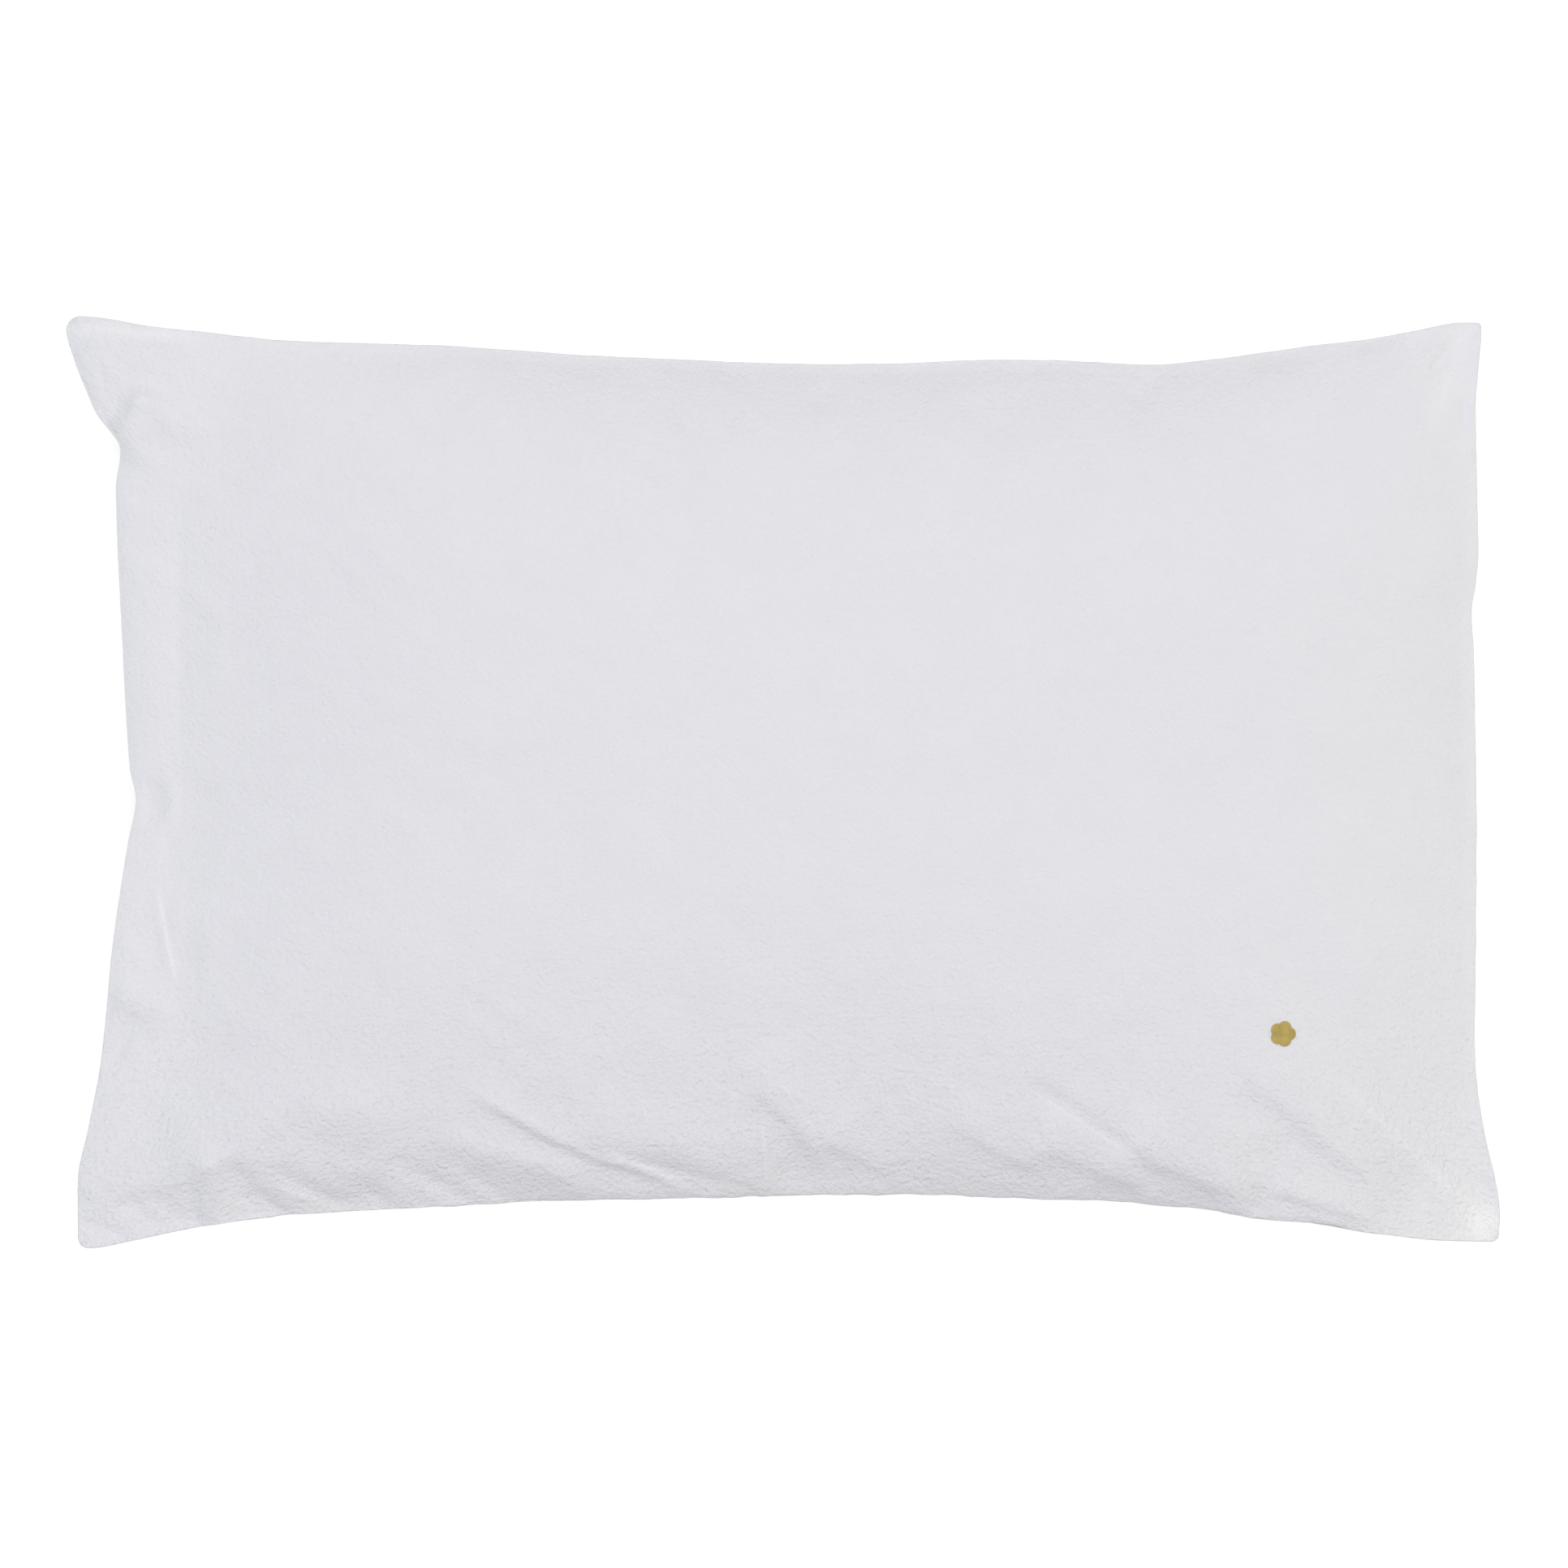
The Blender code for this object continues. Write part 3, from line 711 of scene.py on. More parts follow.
@dataclass(frozen=True)
class Crumple:
    """The small creases that washing leaves in the cloth, and the puckers along its seams."""

    wander: float = 0.7  # how far a crease strays from its line, in pitches
    wander_pitch: float = 1.9
    wander_seed: int = 40
    patch_pitch: float = 70.0
    patch_share: float = 0.45
    patch_seed: int = 80
    pucker_pitch: float = 11.0
    pucker_height: float = 1.1
    pucker_reach: float = 17.0
    pucker_fall: float = 1.4  # how suddenly the puckers end at that reach
    fine_share: float = 0.55
    fine_change: float = 0.2  # how fast a pucker changes on its way in from the edge
    broad_share: float = 0.65
    broad_change: float = 0.15
    broad_pitch: float = 2.3  # in pitches of the fine puckers
    stretch_pitch: float = 75.0  # of the stretches of an edge that draw more or less
    stretch_share: float = 0.4

    def strength(self, u: np.ndarray, v: np.ndarray) -> np.ndarray:
        """Returns how crumpled the face is: most by the side at -Y and by the opening end."""
        low = 1.0 - smooth(v, 0.02, 0.42)
        opening = 1.0 - smooth(u, 0.02, 0.3)
        high = 1.0 - smooth(1.0 - v, 0.0, 0.1)
        return 0.5 + 0.67 * low + 0.2 * opening * (1.0 - low) + 0.1 * high

    def lift(self, x: np.ndarray, y: np.ndarray, strength: np.ndarray) -> np.ndarray:
        """Makes the creases of a panel.

        Args:
            x: How far along the flat cloth each point is.
            y: How far across it.
            strength: How crumpled the cloth is there.

        Returns:
            The lift of each point.
        """
        total = np.zeros(x.shape)
        for seed, angle, stretch, pitch, height in CREASE_LAYERS:
            a, b = turned(x, y, angle, stretch)
            stray = lattice_noise(a, b, pitch * self.wander_pitch, seed + self.wander_seed)
            wander = self.wander * pitch * stray
            creases = 1.0 - 2.0 * np.abs(lattice_noise(a + wander, b - wander, pitch, seed))
            patches = lattice_noise(x, y, self.patch_pitch, seed + self.patch_seed)
            total += height * creases * patchy(patches, self.patch_share)
        return total * strength

    def puckers(self, along: np.ndarray, away: np.ndarray, edge: Puckering) -> np.ndarray:
        """Makes the puckers that one edge draws into the cloth.

        Args:
            along: How far along the edge each point is.
            away: How far in from the edge it is.
            edge: What the edge's puckers are like.

        Returns:
            The lift of each point.
        """
        place = along + edge.lean * away
        broad_pitch = self.pucker_pitch * self.broad_pitch
        fine = lattice_noise(place, away * self.fine_change, self.pucker_pitch, edge.seed)
        broad = lattice_noise(place, away * self.broad_change, broad_pitch, edge.seed + 1)
        stretches = lattice_noise(along, away * 0.0, self.stretch_pitch, edge.seed + 2)
        local = patchy(stretches, self.stretch_share)
        near = np.exp(-((away / self.pucker_reach) ** self.pucker_fall))
        both = self.fine_share * fine + self.broad_share * broad
        return self.pucker_height * both * local * near * edge.strength


@dataclass(frozen=True)
class Settling:
    """A cloth simulation of the sewn case, started from the filled form.

    The springs have the lengths of the flat cut cloth. So the cloth gathers into puckers where the filled
    form is shorter than the cloth, and it pulls tight where the form is longer.
    """

    form: CaseForm
    cells_along: int = 132
    cells_across: int = 88
    frames: int = 20
    pressure: float = 4.0
    bending: float = 0.15
    quality: int = 6
    point_mass: float = 0.15
    tension: float = 25.0
    shear: float = 8.0
    edge_cell_along: float = 0.8  # the size of a cell at an edge, as a share of one in the middle
    edge_cell_across: float = 0.7
    cap: float = 0.0065  # metres that a crease may move the cloth
    broad: float = 9.0  # cells over which the swelling is averaged and taken back out

    def lines(self) -> tuple[np.ndarray, np.ndarray]:
        """Returns the shares of the lines along and across the case."""
        along = grid_lines(self.cells_along, self.edge_cell_along, self.edge_cell_along)
        return along, grid_lines(self.cells_across, self.edge_cell_across, self.edge_cell_across)

    def run(self) -> tuple[np.ndarray, np.ndarray]:
        """Settles the cloth.

        Returns:
            How far the points of the face and of the back moved, in millimetres.
        """
        u, v = np.meshgrid(*self.lines(), indexing="ij")
        face, back = self.form.face(u, v), self.form.back(u, v)
        rows, columns = u.shape
        inner = np.zeros(u.shape, bool)
        inner[1:-1, 1:-1] = True
        index = np.arange(rows * columns).reshape(rows, columns)
        back_index = index.copy()
        back_index[inner] = rows * columns + np.arange(inner.sum())
        rim = (face + back) / 2.0
        start = np.concatenate((np.where(inner[..., None], face, rim).reshape(-1, 3), back[inner]))
        flat = np.stack((u * self.form.flat_length, v * self.form.flat_width, u * 0.0), axis=-1)
        flat = np.concatenate((flat.reshape(-1, 3), flat[inner]))
        quads = np.concatenate((panel_quads(index, False), panel_quads(back_index, True)))
        held = 1.0 - self.form.filled(u, v)
        held = np.concatenate((held.reshape(-1), held[inner]))

        mesh = bpy.data.meshes.new("settling")
        mesh.from_pydata((start * MM).tolist(), [], quads.tolist())
        obj = new_object("settling", mesh)
        obj.shape_key_add(name="filled")
        key = obj.shape_key_add(name="flat cut")
        key.data.foreach_set("co", (flat * MM).astype(np.float32).ravel())
        group = obj.vertex_groups.new(name="held")
        for place, weight in enumerate(held):
            if weight > 0.0:
                group.add((place,), float(weight), "REPLACE")
        self.simulate(obj, key)
        settled = np.empty(len(start) * 3, np.float32)
        evaluated = obj.evaluated_get(bpy.context.evaluated_depsgraph_get())
        evaluated.data.vertices.foreach_get("co", settled)
        moved = settled.reshape(-1, 3) / MM - start
        bpy.data.objects.remove(obj, do_unlink=True)
        bpy.data.meshes.remove(mesh)
        bpy.context.scene.frame_set(1)
        face_moved = moved[index.reshape(-1)].reshape(rows, columns, 3)
        back_moved = moved[back_index.reshape(-1)].reshape(rows, columns, 3)
        return self.creases_only(face_moved), self.creases_only(back_moved)

    def simulate(self, obj: bpy.types.Object, flat: bpy.types.ShapeKey) -> None:
        """Runs the cloth on an object whose springs have the lengths of a flat shape.

        Args:
            obj: The sewn case.
            flat: The shape of the flat cut cloth.
        """
        modifier = obj.modifiers.new("cloth", "CLOTH")
        cloth = modifier.settings
        cloth.quality = self.quality
        cloth.mass = self.point_mass
        cloth.tension_stiffness = self.tension
        cloth.compression_stiffness = self.tension
        cloth.shear_stiffness = self.shear
        cloth.bending_stiffness = self.bending
        cloth.use_pressure = True
        cloth.uniform_pressure_force = self.pressure
        cloth.effector_weights.gravity = 0.0
        cloth.vertex_group_mass = "held"
        cloth.rest_shape_key = flat
        modifier.point_cache.frame_start = 1
        modifier.point_cache.frame_end = self.frames
        for frame in range(1, self.frames + 1):
            bpy.context.scene.frame_set(frame)

    def creases_only(self, moved: np.ndarray) -> np.ndarray:
        """Takes the broad swelling out of a panel's motion and caps what is left.

        Args:
            moved: How far each point of the panel moved.

        Returns:
            The motion that makes its creases.
        """
        reach = int(3 * self.broad)
        weights = np.exp(-0.5 * (np.arange(-reach, reach + 1) / self.broad) ** 2)
        weights /= weights.sum()
        broad = moved
        for axis in (0, 1):
            width = [(reach, reach) if k == axis else (0, 0) for k in range(3)]
            padded = np.pad(broad, width, mode="edge")
            size = moved.shape[axis]
            broad = sum(
                weight * np.take(padded, np.arange(k, k + size), axis=axis)
                for k, weight in enumerate(weights)
            )
        fine = moved - broad
        length = np.linalg.norm(fine, axis=2, keepdims=True) * MM
        return fine * self.cap / np.maximum(length, self.cap)


def panel_quads(index: np.ndarray, turned_over: bool) -> np.ndarray:
    """Lists the faces of a panel.

    Args:
        index: The vertex number of each point of the panel's grid.
        turned_over: Whether the panel faces down.

    Returns:
        Four vertex numbers for each face.
    """
    corners = [index[:-1, :-1], index[1:, :-1], index[1:, 1:], index[:-1, 1:]]
    if turned_over:
        corners.reverse()
    return np.stack([corner.reshape(-1) for corner in corners], axis=1)


def rim_loop(grid: np.ndarray) -> np.ndarray:
    """Returns a grid's outermost points in order, from its low corner at the opening along the low side."""
    return np.concatenate((grid[:-1, 0], grid[-1, :-1], grid[:0:-1, -1], grid[0, :0:-1]))


@dataclass
class ClothPanels:
    """The finished cloth of both panels, as grids of points in millimetres."""

    form: CaseForm
    u: np.ndarray
    v: np.ndarray
    face: np.ndarray
    back: np.ndarray
    crinkle: np.ndarray

    def coarse(self, grid: np.ndarray) -> np.ndarray:
        """Returns every second line of a grid, which is what the back is made of."""
        return grid[::2, ::2]


@dataclass
class ClothMaker:
    """Lays the cloth over the filled form: settled, folded, creased and puckered."""

    form: CaseForm = field(default_factory=CaseForm)
    crumple: Crumple = field(default_factory=Crumple)
    cells_along: int = 312
    cells_across: int = 220
    hem_gape: float = 2.2  # the widest gap between the two hems at the opening
    hem_gape_reach: float = 46.0
    hem_curl: float = 2.6  # how far the folded edge itself curls down, in its high half
    hem_curl_reach: float = 5.0
    seam_lift: float = 2.0  # how far a sewn seam stands out flat from the roll of the filling
    seam_lift_reach: float = 4.0
    back_strength: float = 0.6
    back_offset: float = 2000.0  # gives the back other creases than the face
    airborne: float = 14.0  # height at which the back's creases are at their full
    least_gap: float = 0.8  # between the two panels, in thicknesses of the edge
    opening_cell: float = 0.5  # the size of a cell at each edge, as a share of one in the middle
    sewn_cell: float = 0.55
    low_cell: float = 0.36
    high_cell: float = 0.65
    cross_reach: float = 0.2
    corner_extra: float = 0.5  # how much more the low seam puckers by the opening
    corner_span: tuple[float, float] = (60.0, 260.0)
    low_curl: float = 0.25  # the folded edge's curl in its low half, as a share
    curl_change: tuple[float, float] = (0.42, 0.56)
    gape_pitch: float = 62.0
    gape_share: float = 0.45
    gape_seed: int = 33
    low_gape_end: tuple[float, float] = (20.0, 110.0)
    high_gape_end: tuple[float, float] = (60.0, 150.0)

    def make(self) -> ClothPanels:
        """Makes the cloth of both panels and returns it."""
        lines_u = grid_lines(self.cells_along, self.opening_cell, self.sewn_cell)
        lines_v = grid_lines(self.cells_across, self.low_cell, self.high_cell, self.cross_reach)
        u, v = np.meshgrid(lines_u, lines_v, indexing="ij")
        face, back = self.form.face(u, v), self.form.back(u, v)
        face_normal, back_normal = grid_normals(face), -grid_normals(back)
        settling = Settling(self.form)
        face_moved, back_moved = settling.run()
        known_u, known_v = settling.lines()
        along, across = curve_weights(known_u, lines_u), curve_weights(known_v, lines_v)
        face = face + np.einsum("ai,bj,ijk->abk", along, across, face_moved, optimize=True)
        back = back + np.einsum("ai,bj,ijk->abk", along, across, back_moved, optimize=True)

        filled = self.form.filled(u, v)[..., None]
        folds = LOW_SIDE_FOLDS + LOW_OPENING_FOLDS + OPENING_FOLDS + EAR_FOLDS + HIGH_SIDE_FOLDS + FACE_FOLDS
        fold_field = FoldField(folds, SWELLS)
        plan = self.form.plan(u, v)
        outward = mix(UP, face_normal, filled)
        lift = fold_field.lift(plan)[..., None]
        lift = fold_field.lift(plan + lift * outward[..., :2])[..., None]
        face = face + lift * outward
        back = back + lift * UP * (1.0 - filled)

        x, y = u * self.form.flat_length, v * self.form.flat_width
        strength = self.crumple.strength(u, v)
        pull = self.seam_puckers(x, y)
        face = face + (self.crumple.lift(x, y, strength) + pull)[..., None] * face_normal
        back_lift = self.crumple.lift(x + self.back_offset, y, np.full(x.shape, self.back_strength))
        shared = pull * (1.0 - filled[..., 0])
        airborne = smooth(back[..., 2], 0.0, self.airborne)
        back = back + ((back_lift + pull * filled[..., 0]) * airborne)[..., None] * back_normal
        back = back + shared[..., None] * UP

        gape = self.hem_gap(x, y)[..., None] / 2.0
        edge = self.edge_lift(x, y)[..., None]
        face, back = face + (edge + gape) * UP, back + (edge - gape) * UP
        back[..., 2] = self.form.rest(back[..., 2])
        least = back[..., 2] + self.form.edge_thickness * self.least_gap
        face[..., 2] = np.maximum(face[..., 2], least)
        return ClothPanels(self.form, u, v, face, back, strength)

    def seam_puckers(self, x: np.ndarray, y: np.ndarray) -> np.ndarray:
        """Adds up the puckers of the three seams and, fainter, of the folded edge at the opening.

        Args:
            x: How far along the flat cloth each point is.
            y: How far across it.

        Returns:
            The lift of each point.
        """
        crumple = self.crumple
        low = crumple.puckers(x, y, LOW_PUCKERS)
        low = low * (1.0 + self.corner_extra * (1.0 - smooth(x, *self.corner_span)))
        high = crumple.puckers(x, self.form.flat_width - y, HIGH_PUCKERS)
        sewn = crumple.puckers(y, self.form.flat_length - x, SEWN_PUCKERS)
        opening = crumple.puckers(y, x, OPENING_PUCKERS)
        return low + high + sewn + opening

    def edge_lift(self, x: np.ndarray, y: np.ndarray) -> np.ndarray:
        """Returns how far the sewn seams stand up from the roll, less how far the folded edge curls down."""
        form = self.form
        inward = np.minimum(np.minimum(y, form.flat_width - y), form.flat_length - x)
        seam = self.seam_lift * np.exp(-inward / self.seam_lift_reach)
        change = (share * form.flat_width for share in self.curl_change)
        high_half = mix(self.low_curl, 1.0, smooth(y, *change))
        return seam - self.hem_curl * high_half * np.exp(-x / self.hem_curl_reach)

    def hem_gap(self, x: np.ndarray, y: np.ndarray) -> np.ndarray:
        """Returns how far apart the two hems stand at the opening, most between its corners."""
        waves = patchy(lattice_noise(y, y * 0.0, self.gape_pitch, self.gape_seed), self.gape_share)
        ends = smooth(y, *self.low_gape_end) * smooth(self.form.flat_width - y, *self.high_gape_end)
        return self.hem_gape * waves * ends * (1.0 - smooth(x, 0.0, self.hem_gape_reach))


@dataclass
class Wiring:
    """Adds nodes to a tree and links them."""

    tree: bpy.types.NodeTree

    def node(self, kind: str, inputs: dict[str | int, object], **settings: object) -> bpy.types.Node:
        """Adds a node.

        Args:
            kind: The node's type.
            inputs: What goes into each input, by its name or number: a socket to link, or a value.
            **settings: The node's own properties.

        Returns:
            The node.
        """
        made = self.tree.nodes.new(kind)
        for name, value in settings.items():
            setattr(made, name, value)
        for key, value in inputs.items():
            if isinstance(value, bpy.types.NodeSocket):
                self.tree.links.new(value, made.inputs[key])
            else:
                made.inputs[key].default_value = value
        return made

    def math(self, operation: str, *values: object) -> bpy.types.NodeSocket:
        """Adds a Math node on the values and returns its result."""
        return self.node("ShaderNodeMath", dict(enumerate(values)), operation=operation).outputs[0]

    def clamped(self, operation: str, *values: object) -> bpy.types.NodeSocket:
        """Adds a Math node on the values and returns its result, kept between 0 and 1."""
        inputs = dict(enumerate(values))
        return self.node("ShaderNodeMath", inputs, operation=operation, use_clamp=True).outputs[0]

    def vectors(self, operation: str, first: object, second: object) -> bpy.types.Node:
        """Adds a Vector Math node on two vectors and returns it."""
        return self.node("ShaderNodeVectorMath", {0: first, 1: second}, operation=operation)

    def noise(self, place: bpy.types.NodeSocket, scale: float, detail: float) -> bpy.types.NodeSocket:
        """Adds a Noise Texture read at a place and returns its value."""
        inputs = {"Vector": place, "Scale": scale, "Detail": detail, "Roughness": 0.55}
        return self.node("ShaderNodeTexNoise", inputs).outputs["Fac"]


class ShaderGroups:
    """The node groups that more than one material uses, each built once."""

    def __init__(self) -> None:
        """Builds the groups."""
        self.washed_tone = self.build_washed_tone()
        self.thread_twist = self.build_thread_twist()
        self.painted_highlight = self.build_painted_highlight()

    @staticmethod
    def start(name: str, inputs: dict[str, str], outputs: dict[str, str]) -> tuple[Wiring, object, object]:
        """Starts a group.

        Args:
            name: The group's name.
            inputs: The type of each input socket.
            outputs: The type of each output socket.

        Returns:
            The group's wiring, its input node and its output node.
        """
        tree = bpy.data.node_groups.new(name, "ShaderNodeTree")
        for socket, kind in inputs.items():
            tree.interface.new_socket(name=socket, in_out="INPUT", socket_type=kind)
        for socket, kind in outputs.items():
            tree.interface.new_socket(name=socket, in_out="OUTPUT", socket_type=kind)
        wiring = Wiring(tree)
        return wiring, wiring.node("NodeGroupInput", {}), wiring.node("NodeGroupOutput", {})

    def build_washed_tone(self) -> bpy.types.NodeTree:
        """Builds the slow drift between two tones that washing leaves, and returns the group."""
        inputs = {
            "Place": "NodeSocketVector", "Patches": "NodeSocketFloat",
            "Tone": "NodeSocketColor", "Faded": "NodeSocketColor",
        }
        wiring, given, result = self.start("washed tone", inputs, {"Color": "NodeSocketColor"})
        broad = wiring.node("ShaderNodeTexNoise", {
            "Vector": given.outputs["Place"], "Scale": given.outputs["Patches"], "Detail": 3.0,
        })
        blend = wiring.node("ShaderNodeMix", {
            "Factor": broad.outputs["Fac"], 6: given.outputs["Tone"], 7: given.outputs["Faded"],
        }, data_type="RGBA")
        wiring.tree.links.new(blend.outputs[2], result.inputs["Color"])
        return wiring.tree

    def build_painted_highlight(self) -> bpy.types.NodeTree:
        """Builds a painted highlight along a line between two places, and returns the group."""
        inputs = {
            "Place": "NodeSocketVector", "Start": "NodeSocketVector", "End": "NodeSocketVector",
            "Width": "NodeSocketFloat", "Strength": "NodeSocketFloat",
        }
        wiring, given, result = self.start("painted highlight", inputs, {"Share": "NodeSocketFloat"})
        flat = wiring.vectors("MULTIPLY", given.outputs["Place"], (1.0, 1.0, 0.0)).outputs["Vector"]
        offset = wiring.vectors("SUBTRACT", flat, given.outputs["Start"]).outputs["Vector"]
        run = wiring.vectors("SUBTRACT", given.outputs["End"], given.outputs["Start"]).outputs["Vector"]
        reached = wiring.vectors("DOT_PRODUCT", offset, run).outputs["Value"]
        length = wiring.vectors("DOT_PRODUCT", run, run).outputs["Value"]
        along = wiring.clamped("DIVIDE", reached, length)
        nearest = wiring.node("ShaderNodeVectorMath", {"Vector": run, "Scale": along}, operation="SCALE")
        away = wiring.vectors("DISTANCE", offset, nearest.outputs["Vector"]).outputs["Value"]
        across = wiring.clamped("SUBTRACT", 1.0, wiring.math("DIVIDE", away, given.outputs["Width"]))
        ends = wiring.math("MULTIPLY", along, wiring.math("SUBTRACT", 1.0, along))
        ends = wiring.clamped("MULTIPLY", ends, 6.0)
        share = wiring.math("MULTIPLY", wiring.math("MULTIPLY", across, ends), given.outputs["Strength"])
        wiring.tree.links.new(share, result.inputs["Share"])
        return wiring.tree

    def build_thread_twist(self) -> bpy.types.NodeTree:
        """Builds the twist of a thread from the attributes along and around it, and returns the group."""
        inputs = {"Turns": "NodeSocketFloat"}
        outputs = {"Height": "NodeSocketFloat", "Groove": "NodeSocketFloat"}
        wiring, given, result = self.start("thread twist", inputs, outputs)
        along = wiring.node("ShaderNodeAttribute", {}, attribute_name="along").outputs["Fac"]
        around = wiring.node("ShaderNodeAttribute", {}, attribute_name="around").outputs["Fac"]
        turns = wiring.math("MULTIPLY", along, given.outputs["Turns"])
        angle = wiring.math("MULTIPLY", wiring.math("ADD", turns, around), math.tau)
        wave = wiring.math("SINE", angle)
        height = wiring.math("MULTIPLY_ADD", wave, 0.5, 0.5)
        groove = wiring.math("POWER", wiring.math("SUBTRACT", 1.0, height), 3.0)
        wiring.tree.links.new(height, result.inputs["Height"])
        wiring.tree.links.new(groove, result.inputs["Groove"])
        return wiring.tree


def new_material(name: str) -> tuple[bpy.types.Material, Wiring, bpy.types.Node]:
    """Makes a node material and returns it with its wiring and its Principled shader."""
    material = bpy.data.materials.new(name)
    material.use_nodes = True
    return material, Wiring(material.node_tree), material.node_tree.nodes["Principled BSDF"]


@dataclass(frozen=True)
class CottonPercale:
    """Washed white percale: a fine plain weave with thicker yarns here and there, crinkled by washing."""

    groups: ShaderGroups
    tone: tuple[float, float, float, float] = (0.797, 0.788, 0.840, 1.0)
    faded: tuple[float, float, float, float] = (0.829, 0.820, 0.872, 1.0)
    # The lighter colour painted on for the painted highlights along fold edges and the painted light of the
    # sewn corner at -Y.
    painted_light_tone: tuple[float, float, float, float] = (0.96, 0.95, 0.97, 1.0)
    yarn_pitch: float = 0.00028  # metres
    roughness: float = 0.92
    weave_height: float = 0.00003  # metres
    crinkle_height: float = 0.0013  # metres
    specular: float = 0.18
    sheen: float = 0.12
    sheen_roughness: float = 0.6
    patches: float = 32.0
    weave_strength: float = 0.6
    yarn_draw: float = 30.0  # how much longer than wide a thick place of a yarn is
    yarn_patches: float = 40.0
    yarn_bend: float = 2.2
    crinkle_strength: float = 0.8
    crinkle_creases: float = 190.0
    crinkle_pebbles: float = 460.0
    crinkle_depth: float = 1.6  # of the creases, against the pebbles

    def build(self) -> bpy.types.Material:
        """Builds the material and returns it."""
        material, wiring, shader = new_material("cotton_percale")
        shader.inputs["Roughness"].default_value = self.roughness
        shader.inputs["Specular IOR Level"].default_value = self.specular
        shader.inputs["Sheen Weight"].default_value = self.sheen
        shader.inputs["Sheen Roughness"].default_value = self.sheen_roughness
        cloth = wiring.node("ShaderNodeUVMap", {}, uv_map=CLOTH_MAP).outputs["UV"]
        tone = wiring.node("ShaderNodeGroup", {
            "Place": cloth, "Patches": self.patches, "Tone": self.tone, "Faded": self.faded,
        }, node_tree=self.groups.washed_tone)
        # The share of painted light stored on the mesh; the painted highlights are added to it below.
        share = wiring.node("ShaderNodeAttribute", {}, attribute_name="empty").outputs["Fac"]
        place = wiring.node("ShaderNodeTexCoord", {}).outputs["Object"]
        # Painted highlights along fold edges, added to the share of painted light.
        for edge in PAINTED_HIGHLIGHTS:
            start, end = ((x * MM, y * MM, 0.0) for x, y in (edge.start, edge.end))
            highlighted = wiring.node("ShaderNodeGroup", {
                "Place": place, "Start": start, "End": end,
                "Width": edge.width * MM, "Strength": edge.strength,
            }, node_tree=self.groups.painted_highlight)
            share = wiring.clamped("ADD", share, highlighted.outputs["Share"])
        # Painted light and painted highlights: the base colour is mixed towards the lighter colour by their
        # share.
        lit = wiring.node("ShaderNodeMix", {
            "Factor": share, 6: tone.outputs["Color"], 7: self.painted_light_tone,
        }, data_type="RGBA")
        wiring.tree.links.new(lit.outputs[2], shader.inputs["Base Color"])

        crinkled = self.crinkle(wiring, cloth)
        woven = wiring.node("ShaderNodeBump", {
            "Height": self.weave(wiring, cloth), "Distance": self.weave_height,
            "Strength": self.weave_strength, "Normal": crinkled,
        })
        wiring.tree.links.new(woven.outputs["Normal"], shader.inputs["Normal"])
        return material

    def crinkle(self, wiring: Wiring, cloth: bpy.types.NodeSocket) -> bpy.types.NodeSocket:
        """Wires the fine crinkle of washed cloth.

        Args:
            wiring: The material's wiring.
            cloth: The place on the flat cloth.

        Returns:
            The crinkled normal.
        """
        lines = wiring.noise(cloth, self.crinkle_creases, 2.0)
        creases = wiring.math("ABSOLUTE", wiring.math("SUBTRACT", lines, 0.5))
        pebbles = wiring.noise(cloth, self.crinkle_pebbles, 2.0)
        both = wiring.math("MULTIPLY_ADD", creases, -self.crinkle_depth, pebbles)
        amount = wiring.node("ShaderNodeAttribute", {}, attribute_name="crinkle").outputs["Fac"]
        height = wiring.math("MULTIPLY", both, amount)
        return wiring.node("ShaderNodeBump", {
            "Height": height, "Distance": self.crinkle_height, "Strength": self.crinkle_strength,
        }).outputs["Normal"]

    def weave(self, wiring: Wiring, cloth: bpy.types.NodeSocket) -> bpy.types.NodeSocket:
        """Wires a plain weave whose yarns vary in thickness.

        Args:
            wiring: The material's wiring.
            cloth: The place on the flat cloth.

        Returns:
            The weave's height.
        """
        pace = math.pi / (self.yarn_pitch * CLOTH_MAP_SCALE)
        parts = wiring.node("ShaderNodeSeparateXYZ", {"Vector": cloth})
        waves = []
        draw = self.yarn_draw
        for axis, stretch in (("X", (1.0, draw, 1.0)), ("Y", (draw, 1.0, 1.0))):
            place = wiring.node("ShaderNodeMapping", {"Vector": cloth, "Scale": stretch}).outputs["Vector"]
            uneven = wiring.noise(place, self.yarn_patches, 1.0)
            even = wiring.math("MULTIPLY", parts.outputs[axis], pace)
            bent = wiring.math("MULTIPLY_ADD", uneven, self.yarn_bend, even)
            waves.append(wiring.math("SINE", bent))
        crossing = wiring.math("MULTIPLY", waves[0], waves[1])
        return wiring.math("MULTIPLY_ADD", crossing, 0.5, 0.5)


